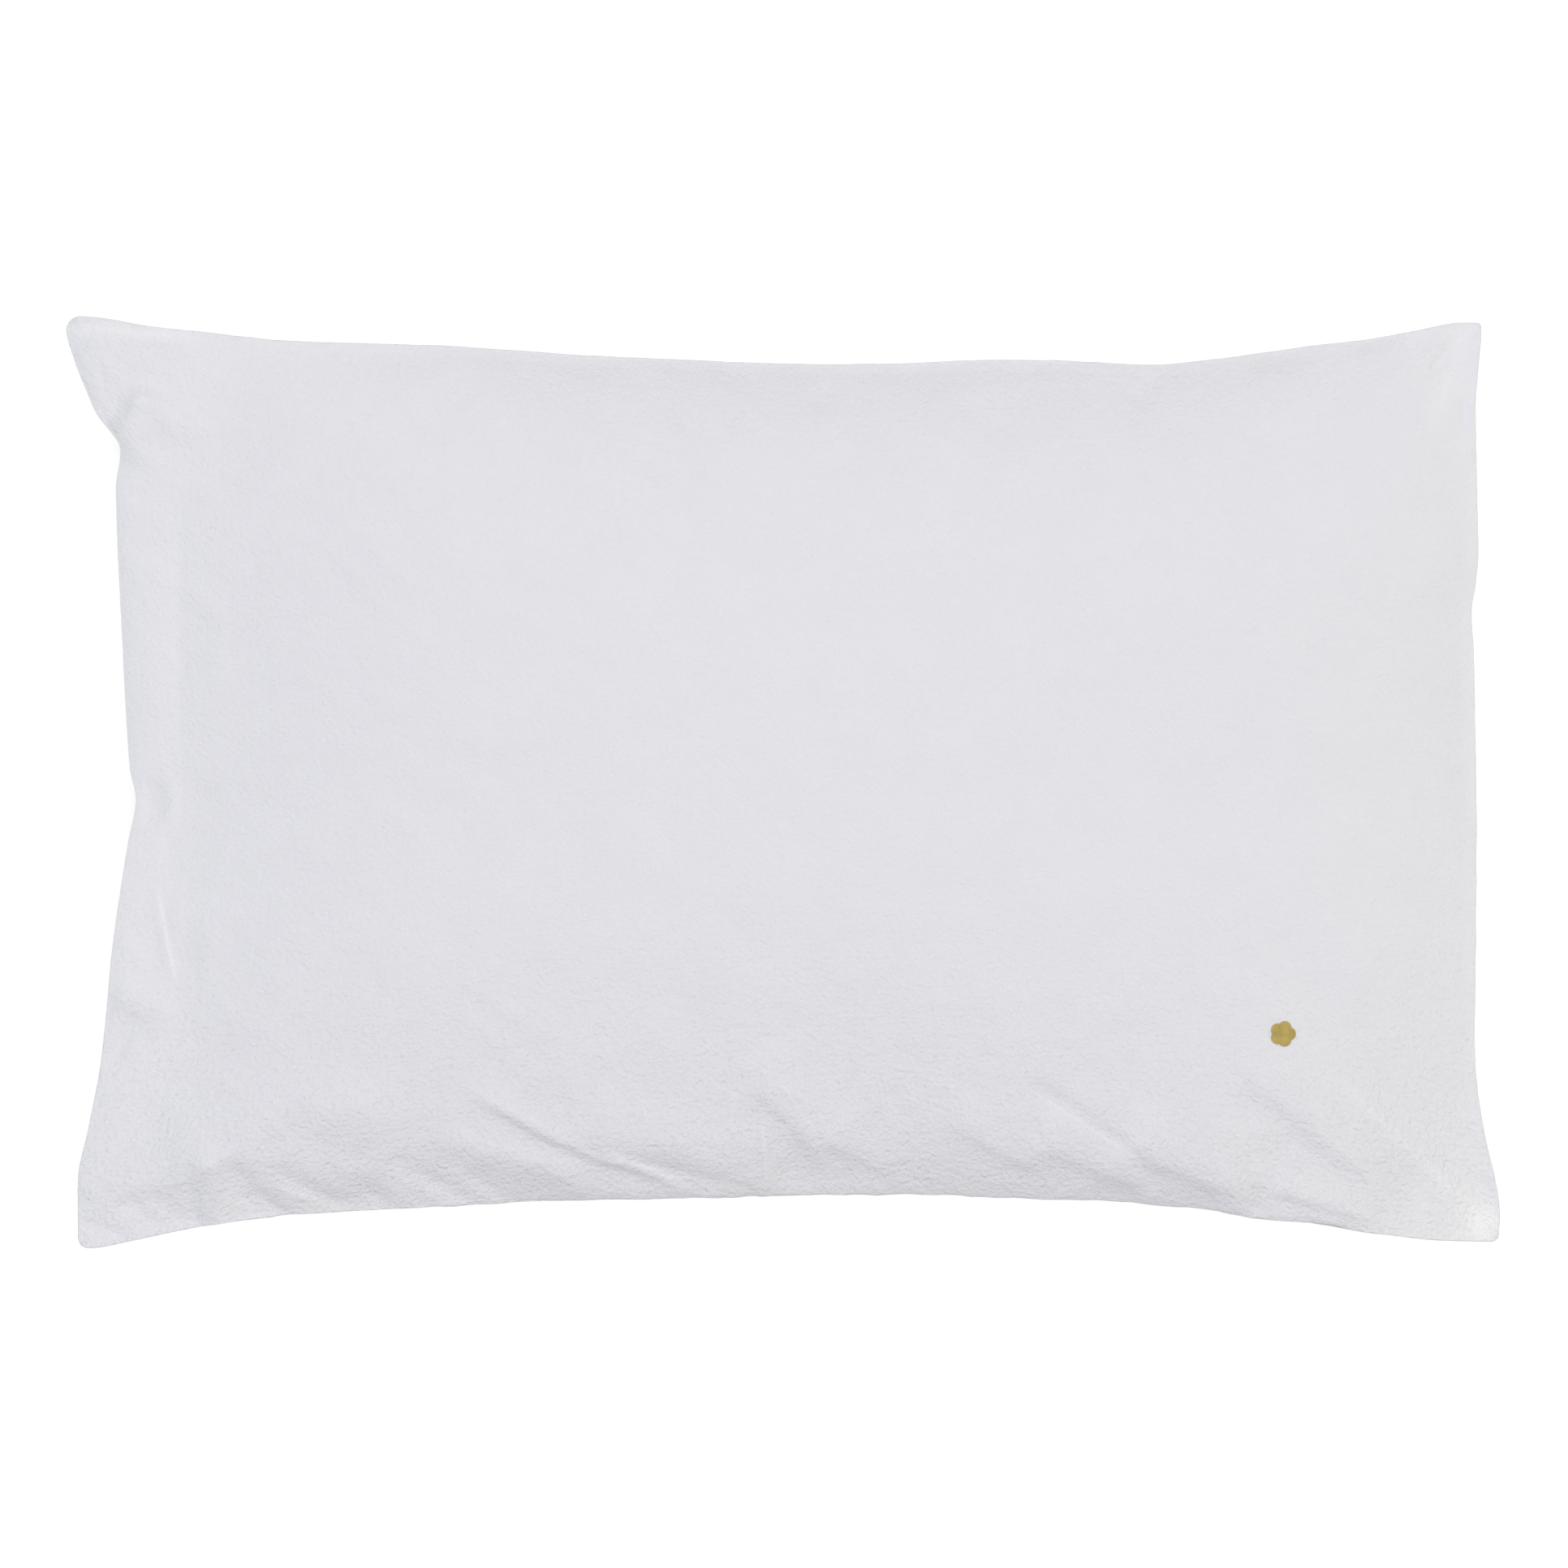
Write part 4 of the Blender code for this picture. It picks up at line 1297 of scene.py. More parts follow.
@dataclass(frozen=True)
class Thread:
    """A twisted thread, of cotton or wound with metal."""

    groups: ShaderGroups
    name: str
    tone: tuple[float, float, float, float]
    faded: tuple[float, float, float, float]
    metallic: float
    roughness: float
    turns: float
    relief: float  # metres
    relief_strength: float = 0.7
    sheen: float = 0.05
    patches: float = 900.0
    # Painted shade in the twist's grooves: how dark, as a share of the tone, and how far the colour goes
    # towards it.
    groove_painted_shade: float = 0.45
    groove_shade_share: float = 0.55
    groove_roughness: float = 0.25

    def build(self) -> bpy.types.Material:
        """Builds the material and returns it."""
        material, wiring, shader = new_material(self.name)
        shader.inputs["Metallic"].default_value = self.metallic
        shader.inputs["Sheen Weight"].default_value = self.sheen
        place = wiring.node("ShaderNodeTexCoord", {}).outputs["Object"]
        twist = wiring.node("ShaderNodeGroup", {"Turns": self.turns}, node_tree=self.groups.thread_twist)
        tone = wiring.node("ShaderNodeGroup", {
            "Place": place, "Patches": self.patches, "Tone": self.tone, "Faded": self.faded,
        }, node_tree=self.groups.washed_tone)
        # Painted shade: the base colour is darkened in the grooves of the twist.
        shade = wiring.node("ShaderNodeMix", {
            "Factor": wiring.math("MULTIPLY", twist.outputs["Groove"], self.groove_shade_share),
            6: tone.outputs["Color"], 7: tuple(self.groove_painted_shade * c for c in self.tone[:3]) + (1.0,),
        }, data_type="RGBA")
        wiring.tree.links.new(shade.outputs[2], shader.inputs["Base Color"])
        groove = twist.outputs["Groove"]
        rough = wiring.math("MULTIPLY_ADD", groove, self.groove_roughness, self.roughness)
        wiring.tree.links.new(rough, shader.inputs["Roughness"])
        bump = wiring.node("ShaderNodeBump", {
            "Height": twist.outputs["Height"], "Distance": self.relief,
            "Strength": self.relief_strength,
        })
        wiring.tree.links.new(bump.outputs["Normal"], shader.inputs["Normal"])
        return material


class StitchTrees:
    """The node trees that lay threads: one arched thread, a row of them along a path, and a field of them."""

    def __init__(self) -> None:
        """Builds the tree of one thread, which the other two use."""
        self.thread = self.build_thread()

    @staticmethod
    def start(name: str, inputs: dict[str, str]) -> tuple[Wiring, object, object]:
        """Starts a tree that puts out geometry.

        Args:
            name: The tree's name.
            inputs: The type of each input socket.

        Returns:
            The tree's wiring, its input node and its output node.
        """
        tree = bpy.data.node_groups.new(name, "GeometryNodeTree")
        for socket, kind in inputs.items():
            tree.interface.new_socket(name=socket, in_out="INPUT", socket_type=kind)
        tree.interface.new_socket(name="Geometry", in_out="OUTPUT", socket_type="NodeSocketGeometry")
        wiring = Wiring(tree)
        return wiring, wiring.node("NodeGroupInput", {}), wiring.node("NodeGroupOutput", {})

    def build_thread(self) -> bpy.types.NodeTree:
        """Builds one thread, arched over the X axis, and returns its tree."""
        inputs = {"Length": "NodeSocketFloat", "Rise": "NodeSocketFloat", "Radius": "NodeSocketFloat"}
        wiring, given, result = self.start("arched thread", inputs)
        half = wiring.math("MULTIPLY", given.outputs["Length"], 0.5)
        ends = [
            wiring.node("ShaderNodeCombineXYZ", {"X": reach}).outputs[0]
            for reach in (wiring.math("MULTIPLY", half, -1.0), half)
        ]
        top = wiring.node("ShaderNodeCombineXYZ", {"Z": wiring.math("MULTIPLY", given.outputs["Rise"], 2.0)})
        arch = wiring.node("GeometryNodeCurveQuadraticBezier", {
            "Resolution": 7, "Start": ends[0], "Middle": top.outputs[0], "End": ends[1],
        })
        round_ = wiring.node("GeometryNodeCurvePrimitiveCircle", {
            "Resolution": 8, "Radius": given.outputs["Radius"],
        })
        marked = []
        for curve, name in ((arch.outputs[0], "along"), (round_.outputs[0], "around")):
            place = wiring.node("GeometryNodeSplineParameter", {}).outputs["Factor"]
            store = {"Geometry": curve, "Name": name, "Value": place}
            marked.append(wiring.node("GeometryNodeStoreNamedAttribute", store, data_type="FLOAT").outputs[0])
        tube = wiring.node("GeometryNodeCurveToMesh", {
            "Curve": marked[0], "Profile Curve": marked[1], "Fill Caps": True,
        })
        rounded = wiring.node("GeometryNodeSetShadeSmooth", {"Geometry": tube.outputs[0]})
        wiring.tree.links.new(rounded.outputs[0], result.inputs["Geometry"])
        return wiring.tree

    def facing(self, wiring: Wiring, heading: object) -> bpy.types.NodeSocket:
        """Wires the turn that stands a thread on the attribute face, along a heading, and returns it."""
        face = wiring.node("GeometryNodeInputNamedAttribute", {"Name": "face"}, data_type="FLOAT_VECTOR")
        turn = wiring.node("FunctionNodeAxesToRotation", {
            "Primary Axis": face.outputs["Attribute"], "Secondary Axis": heading,
        }, primary_axis="Z", secondary_axis="X")
        return turn.outputs["Rotation"]

    def build_row(self) -> bpy.types.NodeTree:
        """Builds a row of stitches along a path of edges and returns its tree."""
        inputs = {
            "Geometry": "NodeSocketGeometry", "Pitch": "NodeSocketFloat", "Length": "NodeSocketFloat",
            "Rise": "NodeSocketFloat", "Radius": "NodeSocketFloat", "Seed": "NodeSocketInt",
            "Thread": "NodeSocketMaterial",
        }
        wiring, given, result = self.start("row of stitches", inputs)
        path = wiring.node("GeometryNodeMeshToCurve", {"Mesh": given.outputs["Geometry"]})
        places = wiring.node("GeometryNodeCurveToPoints", {
            "Curve": path.outputs[0], "Length": given.outputs["Pitch"],
        }, mode="LENGTH")
        sizes = {key: given.outputs[key] for key in ("Length", "Rise", "Radius")}
        thread = wiring.node("GeometryNodeGroup", sizes, node_tree=self.thread)
        uneven = wiring.node("FunctionNodeRandomValue", {
            "Min": (0.86, 1.0, 0.8), "Max": (1.1, 1.0, 1.15), "Seed": given.outputs["Seed"],
        }, data_type="FLOAT_VECTOR")
        laid = wiring.node("GeometryNodeInstanceOnPoints", {
            "Points": places.outputs["Points"], "Instance": thread.outputs[0],
            "Rotation": self.facing(wiring, places.outputs["Tangent"]), "Scale": uneven.outputs["Value"],
        })
        self.end(wiring, laid.outputs[0], given.outputs["Thread"], result)
        return wiring.tree

    def build_field(self) -> bpy.types.NodeTree:
        """Builds threads on guide points, each with its own reach and heading, and returns the tree."""
        inputs = {
            "Geometry": "NodeSocketGeometry", "Rise": "NodeSocketFloat", "Radius": "NodeSocketFloat",
            "Seed": "NodeSocketInt", "Thread": "NodeSocketMaterial",
        }
        wiring, given, result = self.start("field of threads", inputs)
        guide = wiring.node("GeometryNodeInputNamedAttribute", {"Name": "guide"}, data_type="FLOAT")
        parted = wiring.node("GeometryNodeSeparateGeometry", {
            "Geometry": given.outputs["Geometry"],
            "Selection": wiring.math("GREATER_THAN", guide.outputs["Attribute"], 0.5),
        }, domain="POINT")
        heading = wiring.node("GeometryNodeInputNamedAttribute", {
            "Name": "heading",
        }, data_type="FLOAT_VECTOR")
        reach = wiring.node("GeometryNodeInputNamedAttribute", {"Name": "reach"}, data_type="FLOAT")
        uneven = wiring.node("FunctionNodeRandomValue", {
            2: 0.8, 3: 1.2, "Seed": given.outputs["Seed"],
        }, data_type="FLOAT")
        size = wiring.node("ShaderNodeCombineXYZ", {
            "X": reach.outputs["Attribute"], "Y": 1.0, "Z": uneven.outputs[1],
        })
        thread = wiring.node("GeometryNodeGroup", {
            "Length": 1.0, "Rise": given.outputs["Rise"], "Radius": given.outputs["Radius"],
        }, node_tree=self.thread)
        laid = wiring.node("GeometryNodeInstanceOnPoints", {
            "Points": parted.outputs["Selection"], "Instance": thread.outputs[0],
            "Rotation": self.facing(wiring, heading.outputs["Attribute"]), "Scale": size.outputs[0],
        })
        joined = wiring.node("GeometryNodeJoinGeometry", {})
        wiring.tree.links.new(laid.outputs[0], joined.inputs[0])
        wiring.tree.links.new(parted.outputs["Inverted"], joined.inputs[0])
        self.end(wiring, joined.outputs[0], given.outputs["Thread"], result)
        return wiring.tree

    def end(self, wiring: Wiring, laid: object, material: object, result: object) -> None:
        """Ends a tree: its instances made real, with their material set.

        Args:
            wiring: The tree's wiring.
            laid: The geometry with the instances.
            material: The thread's material.
            result: The tree's output node.
        """
        real = wiring.node("GeometryNodeRealizeInstances", {"Geometry": laid})
        dressed = wiring.node("GeometryNodeSetMaterial", {"Geometry": real.outputs[0], "Material": material})
        wiring.tree.links.new(dressed.outputs[0], result.inputs["Geometry"])


def new_object(name: str, data: bpy.types.ID) -> bpy.types.Object:
    """Makes an object of some data, puts it in the scene and returns it."""
    obj = bpy.data.objects.new(name, data)
    bpy.context.scene.collection.objects.link(obj)
    return obj


def grown(
    name: str, guide: bpy.types.Mesh, tree: bpy.types.NodeTree, values: dict[str, object]
) -> bpy.types.Object:
    """Runs a node tree on a guide mesh and keeps the result as a plain mesh.

    Args:
        name: The name of the new object.
        guide: The mesh that the tree starts from.
        tree: The node tree.
        values: The value of each of the tree's inputs.

    Returns:
        The object, at the origin.
    """
    obj = new_object(name, guide)
    modifier = obj.modifiers.new("grown", "NODES")
    modifier.node_group = tree
    for item in tree.interface.items_tree:
        if item.in_out == "INPUT" and item.name in values:
            modifier[item.identifier] = values[item.name]
    bpy.context.view_layer.update()
    depsgraph = bpy.context.evaluated_depsgraph_get()
    mesh = bpy.data.meshes.new_from_object(obj.evaluated_get(depsgraph), depsgraph=depsgraph)
    obj.modifiers.remove(modifier)
    obj.data = mesh
    mesh.name = name
    bpy.data.meshes.remove(guide)
    return obj


def add_attribute(mesh: bpy.types.Mesh, name: str, kind: str, values: np.ndarray) -> None:
    """Stores a value or a vector at each point of a mesh.

    Args:
        mesh: The mesh.
        name: The attribute's name.
        kind: FLOAT or FLOAT_VECTOR.
        values: A row for each point.
    """
    attribute = mesh.attributes.new(name, kind, "POINT")
    key = "vector" if kind == "FLOAT_VECTOR" else "value"
    attribute.data.foreach_set(key, values.astype(np.float32).ravel())


@dataclass
class Pillowcase:
    """The case: two panels of cloth joined by the seams and by the folded edges of the opening."""

    maker: ClothMaker
    # Painted light: the cloth's colour is painted lighter round a spot in the sewn corner at -Y, on the rim
    # and where the filling doesn't part the layers.
    painted_light_spot: tuple[float, float] = (372.0, -233.0)
    painted_light_tip: float = 12.0  # how far from there the painted light is at its strongest, where the two layers lie bare on each other
    painted_light_reach: float = 95.0
    painted_light_spread: float = 0.17
    bare_painted_light: float = 0.12  # how much lighter the cloth is painted where the filling doesn't part its layers, and on the rim: painted light

    def build(self, material: bpy.types.Material) -> tuple[bpy.types.Object, ClothPanels, np.ndarray]:
        """Builds the case.

        Args:
            material: The cloth's material.

        Returns:
            The object, its panels, and the points along the bottom of the groove round the rim.
        """
        cloth = self.maker.make()
        rows, columns = cloth.u.shape
        front = np.arange(rows * columns).reshape(rows, columns)
        back_points = cloth.coarse(cloth.back)
        back = rows * columns + np.arange(back_points[..., 0].size).reshape(back_points.shape[:2])
        rings = self.rim(cloth)
        count = rings.shape[1]
        ring_index = back.max() + 1 + np.arange(rings.shape[0] * count).reshape(rings.shape[:2])
        points = np.concatenate((cloth.face.reshape(-1, 3), back_points.reshape(-1, 3), rings.reshape(-1, 3)))

        faces = panel_quads(front, False).tolist() + panel_quads(back, True).tolist()
        bands = np.concatenate((rim_loop(front)[None], ring_index))
        ahead = np.roll(bands, -1, axis=1)
        for k in range(len(bands) - 1):
            band = np.stack((bands[k], bands[k + 1], ahead[k + 1], ahead[k]), axis=1)
            faces += band.tolist()
        low, back_rim = bands[-1], rim_loop(back)
        joint = (low[::2], back_rim, np.roll(back_rim, -1), np.roll(low, -2)[::2], low[1::2])
        faces += np.stack(joint, axis=1).tolist()

        mesh = bpy.data.meshes.new("pillowcase_cloth")
        mesh.from_pydata((points * MM).tolist(), [], faces)
        mesh.shade_smooth()
        mesh.materials.append(material)
        add_attribute(mesh, "crinkle", "FLOAT", self.crinkles(cloth, count * rings.shape[0]))
        # The share of painted light at each point, with which the material paints the cloth lighter.
        add_attribute(mesh, "empty", "FLOAT", self.painted_light_share(cloth, points))
        self.add_map(mesh, cloth, rings)
        return new_object("pillowcase_cloth", mesh), cloth, rings[GROOVE_RING]

    def rim(self, cloth: ClothPanels) -> np.ndarray:
        """Makes the rings of points between the two panels.

        Args:
            cloth: The finished panels.

        Returns:
            The points, ring by ring from the face to the back.
        """
        top, bottom = rim_loop(cloth.face), rim_loop(cloth.back)
        u, v = rim_loop(cloth.u), rim_loop(cloth.v)
        middle = (top + bottom) / 2.0
        half = self.maker.form.edge_thickness / 2.0
        gape = np.maximum(0.0, (top - bottom)[:, 2] / 2.0 - half)
        run = np.roll(middle, -1, axis=0) - np.roll(middle, 1, axis=0)
        outward = np.stack((run[:, 1], -run[:, 0], run[:, 0] * 0.0), axis=1)
        outward /= np.linalg.norm(outward, axis=1, keepdims=True)
        open_share = (1.0 - smooth(u, 0.0, 0.004)) * smooth(v, 0.0, 0.03) * smooth(1.0 - v, 0.0, 0.03)
        rings = []
        for ring in RIM:
            out = mix(ring.sewn_out, ring.opening_out, open_share)
            rise = half * mix(ring.sewn_rise, ring.opening_rise, open_share) + gape * ring.opening_gape
            rings.append(middle + outward * out[:, None] + UP * rise[:, None])
        return np.array(rings)

    def painted_light_share(self, cloth: ClothPanels, points: np.ndarray) -> np.ndarray:
        """Measures how much lighter the cloth is painted, most in the sewn corner at -Y: painted light.

        Args:
            cloth: The finished panels.
            points: The points of the whole mesh, those of the panels first.

        Returns:
            The share at each point.
        """
        away = np.linalg.norm(points[:, :2] - self.painted_light_spot, axis=1)
        tip = np.exp(-((away / self.painted_light_tip) ** 2))
        share = mix(tip, np.exp(-((away / self.painted_light_reach) ** 2)), self.painted_light_spread)
        bare = 1.0 - cloth.form.filled(cloth.u, cloth.v)
        bare = np.concatenate((bare.reshape(-1), cloth.coarse(bare).reshape(-1)))
        share[: len(bare)] += self.bare_painted_light * bare
        share[len(bare) :] = self.bare_painted_light
        return np.minimum(share, 1.0)

    def crinkles(self, cloth: ClothPanels, rim_points: int) -> np.ndarray:
        """Returns how crinkled the cloth is at each point of the mesh."""
        back = np.full(cloth.coarse(cloth.u).size, self.maker.back_strength)
        return np.concatenate((cloth.crinkle.reshape(-1), back, np.full(rim_points, 1.0)))

    def add_map(self, mesh: bpy.types.Mesh, cloth: ClothPanels, rings: np.ndarray) -> None:
        """Adds the map of the flat cut cloth: the face in its lower half and the back above it."""
        form = cloth.form
        size = np.array((form.flat_length, form.flat_width)) * MM * CLOTH_MAP_SCALE
        margin = (1.0 - 2.0 * size[1]) / 3.0
        front = np.stack((cloth.u, cloth.v), axis=-1) * size + (margin, margin)
        back = np.stack((cloth.coarse(cloth.u), 1.0 - cloth.coarse(cloth.v)), axis=-1) * size
        back += (margin, 2.0 * margin + size[1])
        rim_plan = rim_loop(front)
        centre = size / 2.0 + margin
        step = np.sign(rim_plan - centre) * (np.abs(rim_plan - centre) > size / 2.0 - 1e-6)
        bands = [rim_plan + step * (k + 1) * 0.0006 for k in range(len(rings))]
        places = np.concatenate((front.reshape(-1, 2), back.reshape(-1, 2), np.concatenate(bands)))
        corner = np.empty(len(mesh.loops), np.int32)
        mesh.loops.foreach_get("vertex_index", corner)
        layer = mesh.uv_layers.new(name=CLOTH_MAP)
        layer.uv.foreach_set("vector", places[corner].astype(np.float32).ravel())


@dataclass(frozen=True)
class SeamStitches:
    """The threads that show deep in the groove of the three sewn sides."""

    pitch: float = 2.6
    length: float = 1.7
    rise: float = 0.12
    radius: float = 0.13
    corner_gap: int = 3

    def build(
        self, groove: np.ndarray, cloth: ClothPanels, tree: bpy.types.NodeTree, thread: bpy.types.Material
    ) -> bpy.types.Object:
        """Builds the stitches.

        Args:
            groove: The points along the bottom of the groove, from the low corner at the opening.
            cloth: The finished panels.
            tree: The tree that lays a row of stitches.
            thread: The thread's material.

        Returns:
            The object.
        """
        rows, columns = cloth.u.shape
        sewn = 2 * (rows - 1) + columns - 1
        path = groove[self.corner_gap : sewn - self.corner_gap]
        run = np.gradient(path, axis=0)
        outward = np.stack((run[:, 1], -run[:, 0], run[:, 0] * 0.0), axis=1)
        outward /= np.linalg.norm(outward, axis=1, keepdims=True)
        mesh = path_mesh("seam_stitches_path", path + outward * 0.1, outward)
        return grown("seam_stitches", mesh, tree, {
            "Pitch": self.pitch * MM, "Length": self.length * MM, "Rise": self.rise * MM,
            "Radius": self.radius * MM, "Seed": 5, "Thread": thread,
        })


@dataclass(frozen=True)
class HemStitches:
    """The line of stitches that holds the hem of the back, a little in from the opening."""

    inset: float = 22.0
    pitch: float = 3.0
    length: float = 2.2
    rise: float = 0.16
    radius: float = 0.15
    steps: int = 240

    def build(
        self, cloth: ClothPanels, tree: bpy.types.NodeTree, thread: bpy.types.Material
    ) -> bpy.types.Object:
        """Builds the stitches.

        Args:
            cloth: The finished panels.
            tree: The tree that lays a row of stitches.
            thread: The thread's material.

        Returns:
            The object.
        """
        back = cloth.coarse(cloth.back)
        normals = -grid_normals(back)
        u, v = cloth.coarse(cloth.u)[:, 0], cloth.coarse(cloth.v)[0]
        along = curve_weights(u, np.array((self.inset / cloth.form.flat_length,)))
        across = curve_weights(v, np.linspace(0.012, 0.988, self.steps))
        path = np.einsum("ai,bj,ijk->abk", along, across, back, optimize=True)[0]
        facing = np.einsum("ai,bj,ijk->abk", along, across, normals, optimize=True)[0]
        facing /= np.linalg.norm(facing, axis=1, keepdims=True)
        mesh = path_mesh("hem_stitches_path", path - facing * self.radius * 0.4, facing)
        return grown("hem_stitches", mesh, tree, {
            "Pitch": self.pitch * MM, "Length": self.length * MM, "Rise": self.rise * MM,
            "Radius": self.radius * MM, "Seed": 6, "Thread": thread,
        })


def path_mesh(name: str, path: np.ndarray, facing: np.ndarray) -> bpy.types.Mesh:
    """Makes a mesh of edges along a path in millimetres, with the way its stitches face at each point."""
    mesh = bpy.data.meshes.new(name)
    steps = np.arange(len(path) - 1)
    mesh.from_pydata((path * MM).tolist(), np.stack((steps, steps + 1), axis=1).tolist(), [])
    add_attribute(mesh, "face", "FLOAT_VECTOR", facing)
    return mesh


@dataclass(frozen=True)
class Blossom:
    """Five petals of gold thread in satin stitch over a low pad, with a centre of short crossed stitches."""

    centre: tuple[float, float] = (264.7, -133.1)
    radius: float = 6.9
    petals: int = 5
    notch: float = 0.26
    thread_radius: float = 0.19
    thread_step: float = 0.36
    rise: float = 0.34
    pad_rise: float = 0.42
    heart: float = 1.3
    drop: float = 400.0
    petal_round: float = 0.6
    petal_half: float = 0.62  # of the radius
    petal_gap: float = 0.1
    petal_lift: float = 0.3
    shortest: float = 0.8
    rounds: int = 12  # of the search for a stitch's far end
    heart_inset: float = 0.7
    heart_stitches: int = 9
    heart_turn: float = 0.382  # of half a circle
    heart_shrink: float = 0.04
    heart_lift: float = 0.6
    heart_step: float = 0.02
    pad_sides: int = 60
    pad_depth: float = 0.25

    def outline(self, angle: np.ndarray) -> np.ndarray:
        """Returns the blossom's radius at an angle."""
        wave = np.abs(np.cos(self.petals * angle / 2.0)) ** self.petal_round
        return self.radius * (1.0 - self.notch * (1.0 - wave))

    def stitches(self) -> list[tuple[float, float, float, float, float]]:
        """Lists the stitches, petal by petal, then those of the centre.

        Returns:
            The two ends of each stitch, from the blossom's centre, and its lift above the cloth.
        """
        found = []
        for petal in range(self.petals):
            turn = math.tau * petal / self.petals
            c, s = math.cos(turn), math.sin(turn)
            count = int(self.radius * self.petal_half / self.thread_step)
            for k in range(-count, count + 1):
                y = k * self.thread_step
                far = self.radius
                for _ in range(self.rounds):
                    far = math.sqrt(max(0.0, float(self.outline(math.atan2(y, far))) ** 2 - y * y))
                beside = abs(y) / math.tan(math.pi / self.petals) + self.petal_gap
                near = max(self.heart * self.heart_inset, beside)
                if far - near > self.shortest:
                    start = (near * c - y * s, near * s + y * c)
                    found.append((*start, far * c - y * s, far * s + y * c, self.petal_lift))
        for k in range(self.heart_stitches):
            turn = math.pi * k * self.heart_turn
            reach = self.heart * (1.0 - self.heart_shrink * k)
            c, s = math.cos(turn) * reach, math.sin(turn) * reach
            found.append((-c, -s, c, s, self.heart_lift + self.heart_step * k))
        return found

    def build(
        self, case: bpy.types.Object, tree: bpy.types.NodeTree, thread: bpy.types.Material
    ) -> bpy.types.Object:
        """Builds the blossom on the face of the case.

        Args:
            case: The finished case.
            tree: The tree that lays a field of threads.
            thread: The thread's material.

        Returns:
            The object.
        """
        bpy.context.view_layer.update()
        face = BVHTree.FromObject(case, bpy.context.evaluated_depsgraph_get())
        normal = np.array(self.touch(face, 0.0, 0.0)[1])
        places, headings, reaches = [], [], []
        for x0, y0, x1, y1, lift in self.stitches():
            ends = [np.array(self.touch(face, x, y)[0]) for x, y in ((x0, y0), (x1, y1))]
            run = ends[1] - ends[0]
            places.append((ends[0] + ends[1]) / 2.0 + normal * lift * MM)
            headings.append(run / np.linalg.norm(run))
            reaches.append(np.linalg.norm(run))
        pad, faces = self.pad(face, normal)
        points = np.concatenate((np.array(places), pad))
        mesh = bpy.data.meshes.new("blossom_guide")
        mesh.from_pydata(points.tolist(), [], (faces + len(places)).tolist())
        blank = np.zeros((len(pad), 3))
        add_attribute(mesh, "guide", "FLOAT", np.concatenate((np.ones(len(places)), blank[:, 0])))
        add_attribute(mesh, "reach", "FLOAT", np.concatenate((reaches, blank[:, 0])))
        add_attribute(mesh, "heading", "FLOAT_VECTOR", np.concatenate((headings, blank)))
        add_attribute(mesh, "face", "FLOAT_VECTOR", np.tile(normal, (len(points), 1)))
        return grown("blossom_threads", mesh, tree, {
            "Rise": self.rise * MM, "Radius": self.thread_radius * MM, "Seed": 8, "Thread": thread,
        })

    def touch(self, face: BVHTree, x: float, y: float) -> tuple[Vector, Vector]:
        """Returns the cloth's place, in metres, and its normal below a point near the blossom's centre."""
        start = Vector((self.centre[0] + x, self.centre[1] + y, self.drop)) * MM
        place, normal, _, _ = face.ray_cast(start, Vector((0.0, 0.0, -1.0)))
        return place, normal

    def pad(self, face: BVHTree, normal: np.ndarray) -> tuple[np.ndarray, np.ndarray]:
        """Makes the low pad under the stitches.

        Args:
            face: The cloth's surface.
            normal: The way that it faces.

        Returns:
            The pad's points in metres, and the three vertices of each of its faces.
        """
        sides = self.pad_sides
        angles = np.arange(sides) * math.tau / sides
        rings = ((0.93, -0.2), (0.9, 0.12), (0.6, self.pad_rise), (0.25, self.pad_rise * 1.1))
        points = []
        for share, lift in rings:
            for angle, reach in zip(angles, self.outline(angles) * share):
                place, _ = self.touch(face, reach * math.cos(angle), reach * math.sin(angle))
                points.append(np.array(place) + normal * lift * MM)
        points.append(np.array(self.touch(face, 0.0, 0.0)[0]) + normal * self.pad_rise * 1.2 * MM)
        points.append(np.array(self.touch(face, 0.0, 0.0)[0]) - normal * self.pad_depth * MM)
        ring = np.arange(sides)
        after = (ring + 1) % sides
        faces = []
        for k in range(len(rings) - 1):
            a, b = k * sides, (k + 1) * sides
            faces.append(np.stack((a + ring, a + after, b + after), axis=1))
            faces.append(np.stack((a + ring, b + after, b + ring), axis=1))
        last = (len(rings) - 1) * sides
        top = np.full(sides, len(points) - 2)
        faces.append(np.stack((last + ring, last + after, top), axis=1))
        faces.append(np.stack((after, ring, top + 1), axis=1))
        return np.array(points), np.concatenate(faces)


class Sun(NamedTuple):
    """A very soft light from far away."""

    name: str
    strength: float
    colour: tuple[float, float, float]
    towards: tuple[float, float, float]  # from the case to the light
    angle: float  # how wide it looks, in degrees


SUNS = (
    Sun("key", 1.808, (1.0, 1.0, 1.0), (0.0, 0.03, 1.0), 70.0),
    Sun("high_side", 0.38, (1.0, 1.0, 1.0), (0.0, 1.0, 0.0), 50.0),
    Sun("cool_side", 0.37, (0.60, 1.0, 0.85), (-1.0, 0.0, 0.0), 50.0),
    Sun("warm_side", 0.56, (0.97, 1.0, 0.50), (1.0, 0.0, 0.0), 50.0),
)


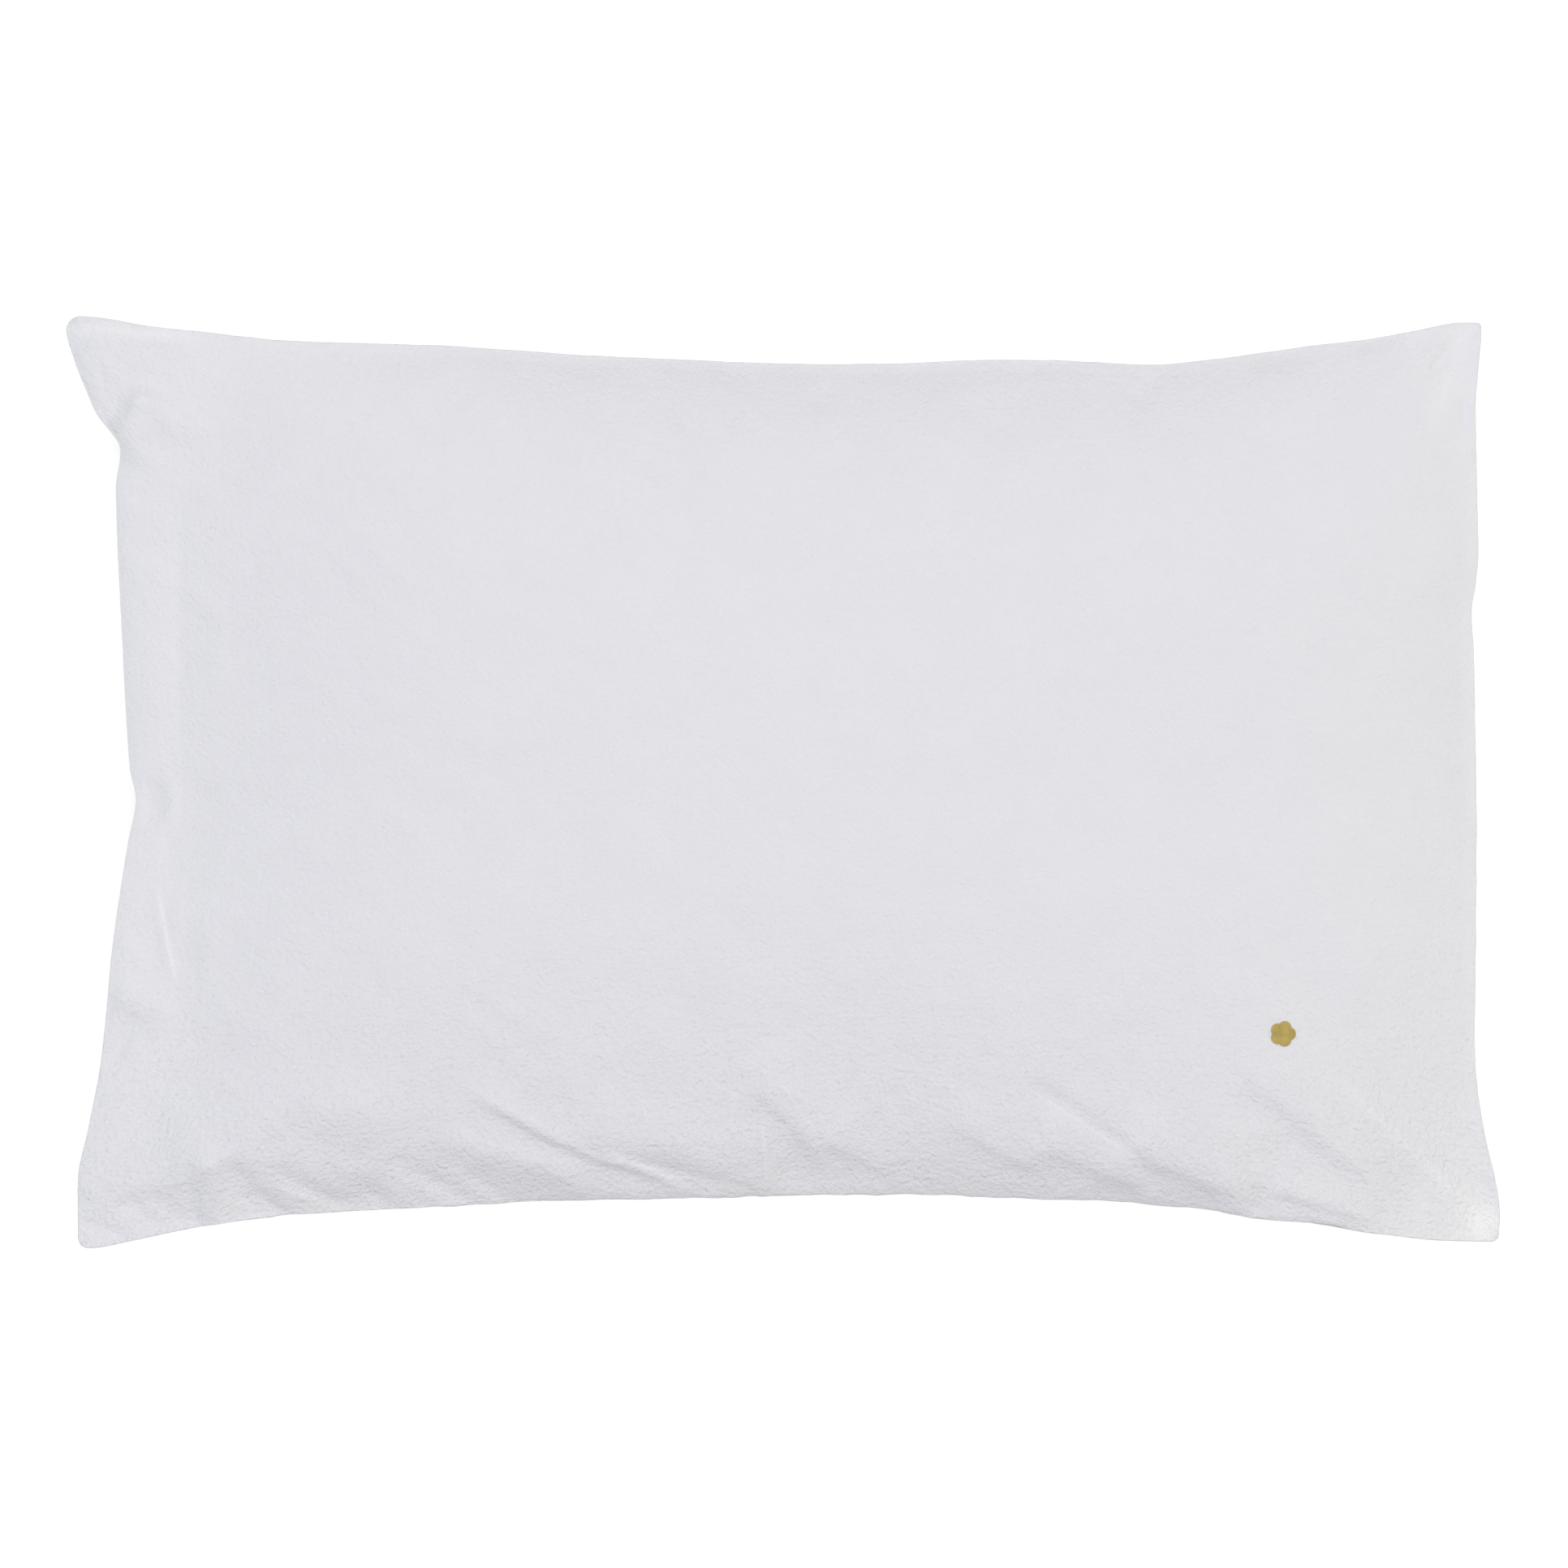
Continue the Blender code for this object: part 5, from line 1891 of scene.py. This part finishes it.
@dataclass(frozen=True)
class Studio:
    """A plain pale floor, soft light from above and from three sides, and a camera that looks straight down.

    The floor looks white, but it throws back no more light than grey paper, so the folds keep their shade.
    """

    camera_height: float = 12.0  # metres
    view_width: float = 0.8308  # metres at the level of the seams
    view_level: float = 0.045
    sensor: float = 36.0
    aim: tuple[float, float] = (0.0017, -0.0013)
    floor_size: float = 80.0
    floor_drop: float = 0.0004
    floor_tone: float = 0.80
    floor_glow: float = 0.5  # what the camera sees on top of the floor's own light
    ambient: float = 0.34
    backdrop: float = 0.9
    camera_reach: float = 200.0  # metres

    def build(self) -> None:
        """Builds the camera, the lights and the floor."""
        self.add_camera()
        self.add_world()
        for sun in SUNS:
            self.add_sun(sun)
        self.add_floor()
        bpy.context.scene.view_settings.view_transform = "Standard"

    def add_camera(self) -> None:
        """Adds the camera, with +Y at the top of the picture."""
        data = bpy.data.cameras.new("camera")
        data.sensor_width = self.sensor
        data.lens = (self.camera_height - self.view_level) * self.sensor / self.view_width
        data.clip_end = self.camera_reach
        camera = new_object("camera", data)
        camera.location = (*self.aim, self.camera_height)
        bpy.context.scene.camera = camera

    def add_world(self) -> None:
        """Lights everything evenly from all round, in front of a pale backdrop."""
        world = bpy.data.worlds.new("studio")
        world.use_nodes = True
        background = world.node_tree.nodes["Background"]
        background.inputs["Color"].default_value = (1.0, 1.0, 1.0, 1.0)
        wiring = Wiring(world.node_tree)
        seen = wiring.node("ShaderNodeLightPath", {}).outputs["Is Camera Ray"]
        strength = wiring.math("MULTIPLY_ADD", seen, self.backdrop - self.ambient, self.ambient)
        wiring.tree.links.new(strength, background.inputs["Strength"])
        bpy.context.scene.world = world

    @staticmethod
    def add_sun(sun: Sun) -> None:
        """Adds a light, turned so that it shines on the case."""
        data = bpy.data.lights.new(sun.name, "SUN")
        data.energy = sun.strength
        data.color = sun.colour
        data.angle = math.radians(sun.angle)
        light = new_object(sun.name, data)
        light.rotation_euler = Vector(sun.towards).to_track_quat("Z", "Y").to_euler()

    def add_floor(self) -> None:
        """Adds the floor, a little below the case."""
        half, low = self.floor_size / 2.0, -self.floor_drop
        corners = ((-half, -half, low), (half, -half, low), (half, half, low), (-half, half, low))
        mesh = bpy.data.meshes.new("floor")
        mesh.from_pydata(corners, [], ((0, 1, 2, 3),))
        material, wiring, shader = new_material("floor_paper")
        shader.inputs["Base Color"].default_value = (self.floor_tone, self.floor_tone, self.floor_tone, 1.0)
        shader.inputs["Roughness"].default_value = 1.0
        shader.inputs["Specular IOR Level"].default_value = 0.0
        shader.inputs["Emission Color"].default_value = (1.0, 1.0, 1.0, 1.0)
        seen = wiring.node("ShaderNodeLightPath", {}).outputs["Is Camera Ray"]
        glow = wiring.math("MULTIPLY", seen, self.floor_glow)
        wiring.tree.links.new(glow, shader.inputs["Emission Strength"])
        mesh.materials.append(material)
        floor = new_object("floor", mesh)


def dress(obj: bpy.types.Object) -> None:
    """Sets a finished piece to move with the part, and reports it."""
    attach(obj, "root")
    LOG.info("%s: %d faces", obj.name, len(obj.data.polygons))


def main() -> None:
    """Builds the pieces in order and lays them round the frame."""
    logging.basicConfig(level=logging.INFO, format="%(name)s: %(message)s")
    for obj in list(bpy.data.objects):
        bpy.data.objects.remove(obj, do_unlink=True)
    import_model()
    Studio().build()
    groups = ShaderGroups()
    trees = StitchTrees()
    row = trees.build_row()

    case, cloth, groove = Pillowcase(ClothMaker()).build(CottonPercale(groups).build())
    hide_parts("pillowcase")
    dress(case)

    white = Thread(
        groups, "white_sewing_thread", tone=(0.80, 0.80, 0.83, 1.0), faded=(0.86, 0.86, 0.88, 1.0),
        metallic=0.0, roughness=0.6, turns=4.0, relief=0.00003,
    ).build()
    dress(SeamStitches().build(groove, cloth, row, white))
    dress(HemStitches().build(cloth, row, white))

    gold = Thread(
        groups, "gold_thread", tone=(0.60, 0.46, 0.13, 1.0), faded=(0.80, 0.66, 0.26, 1.0),
        metallic=0.6, roughness=0.42, turns=9.0, relief=0.00005,
    ).build()
    blossom = Blossom().build(case, trees.build_field(), gold)
    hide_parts("embroidered_blossom")
    dress(blossom)


if __name__ == "__main__":
    main()
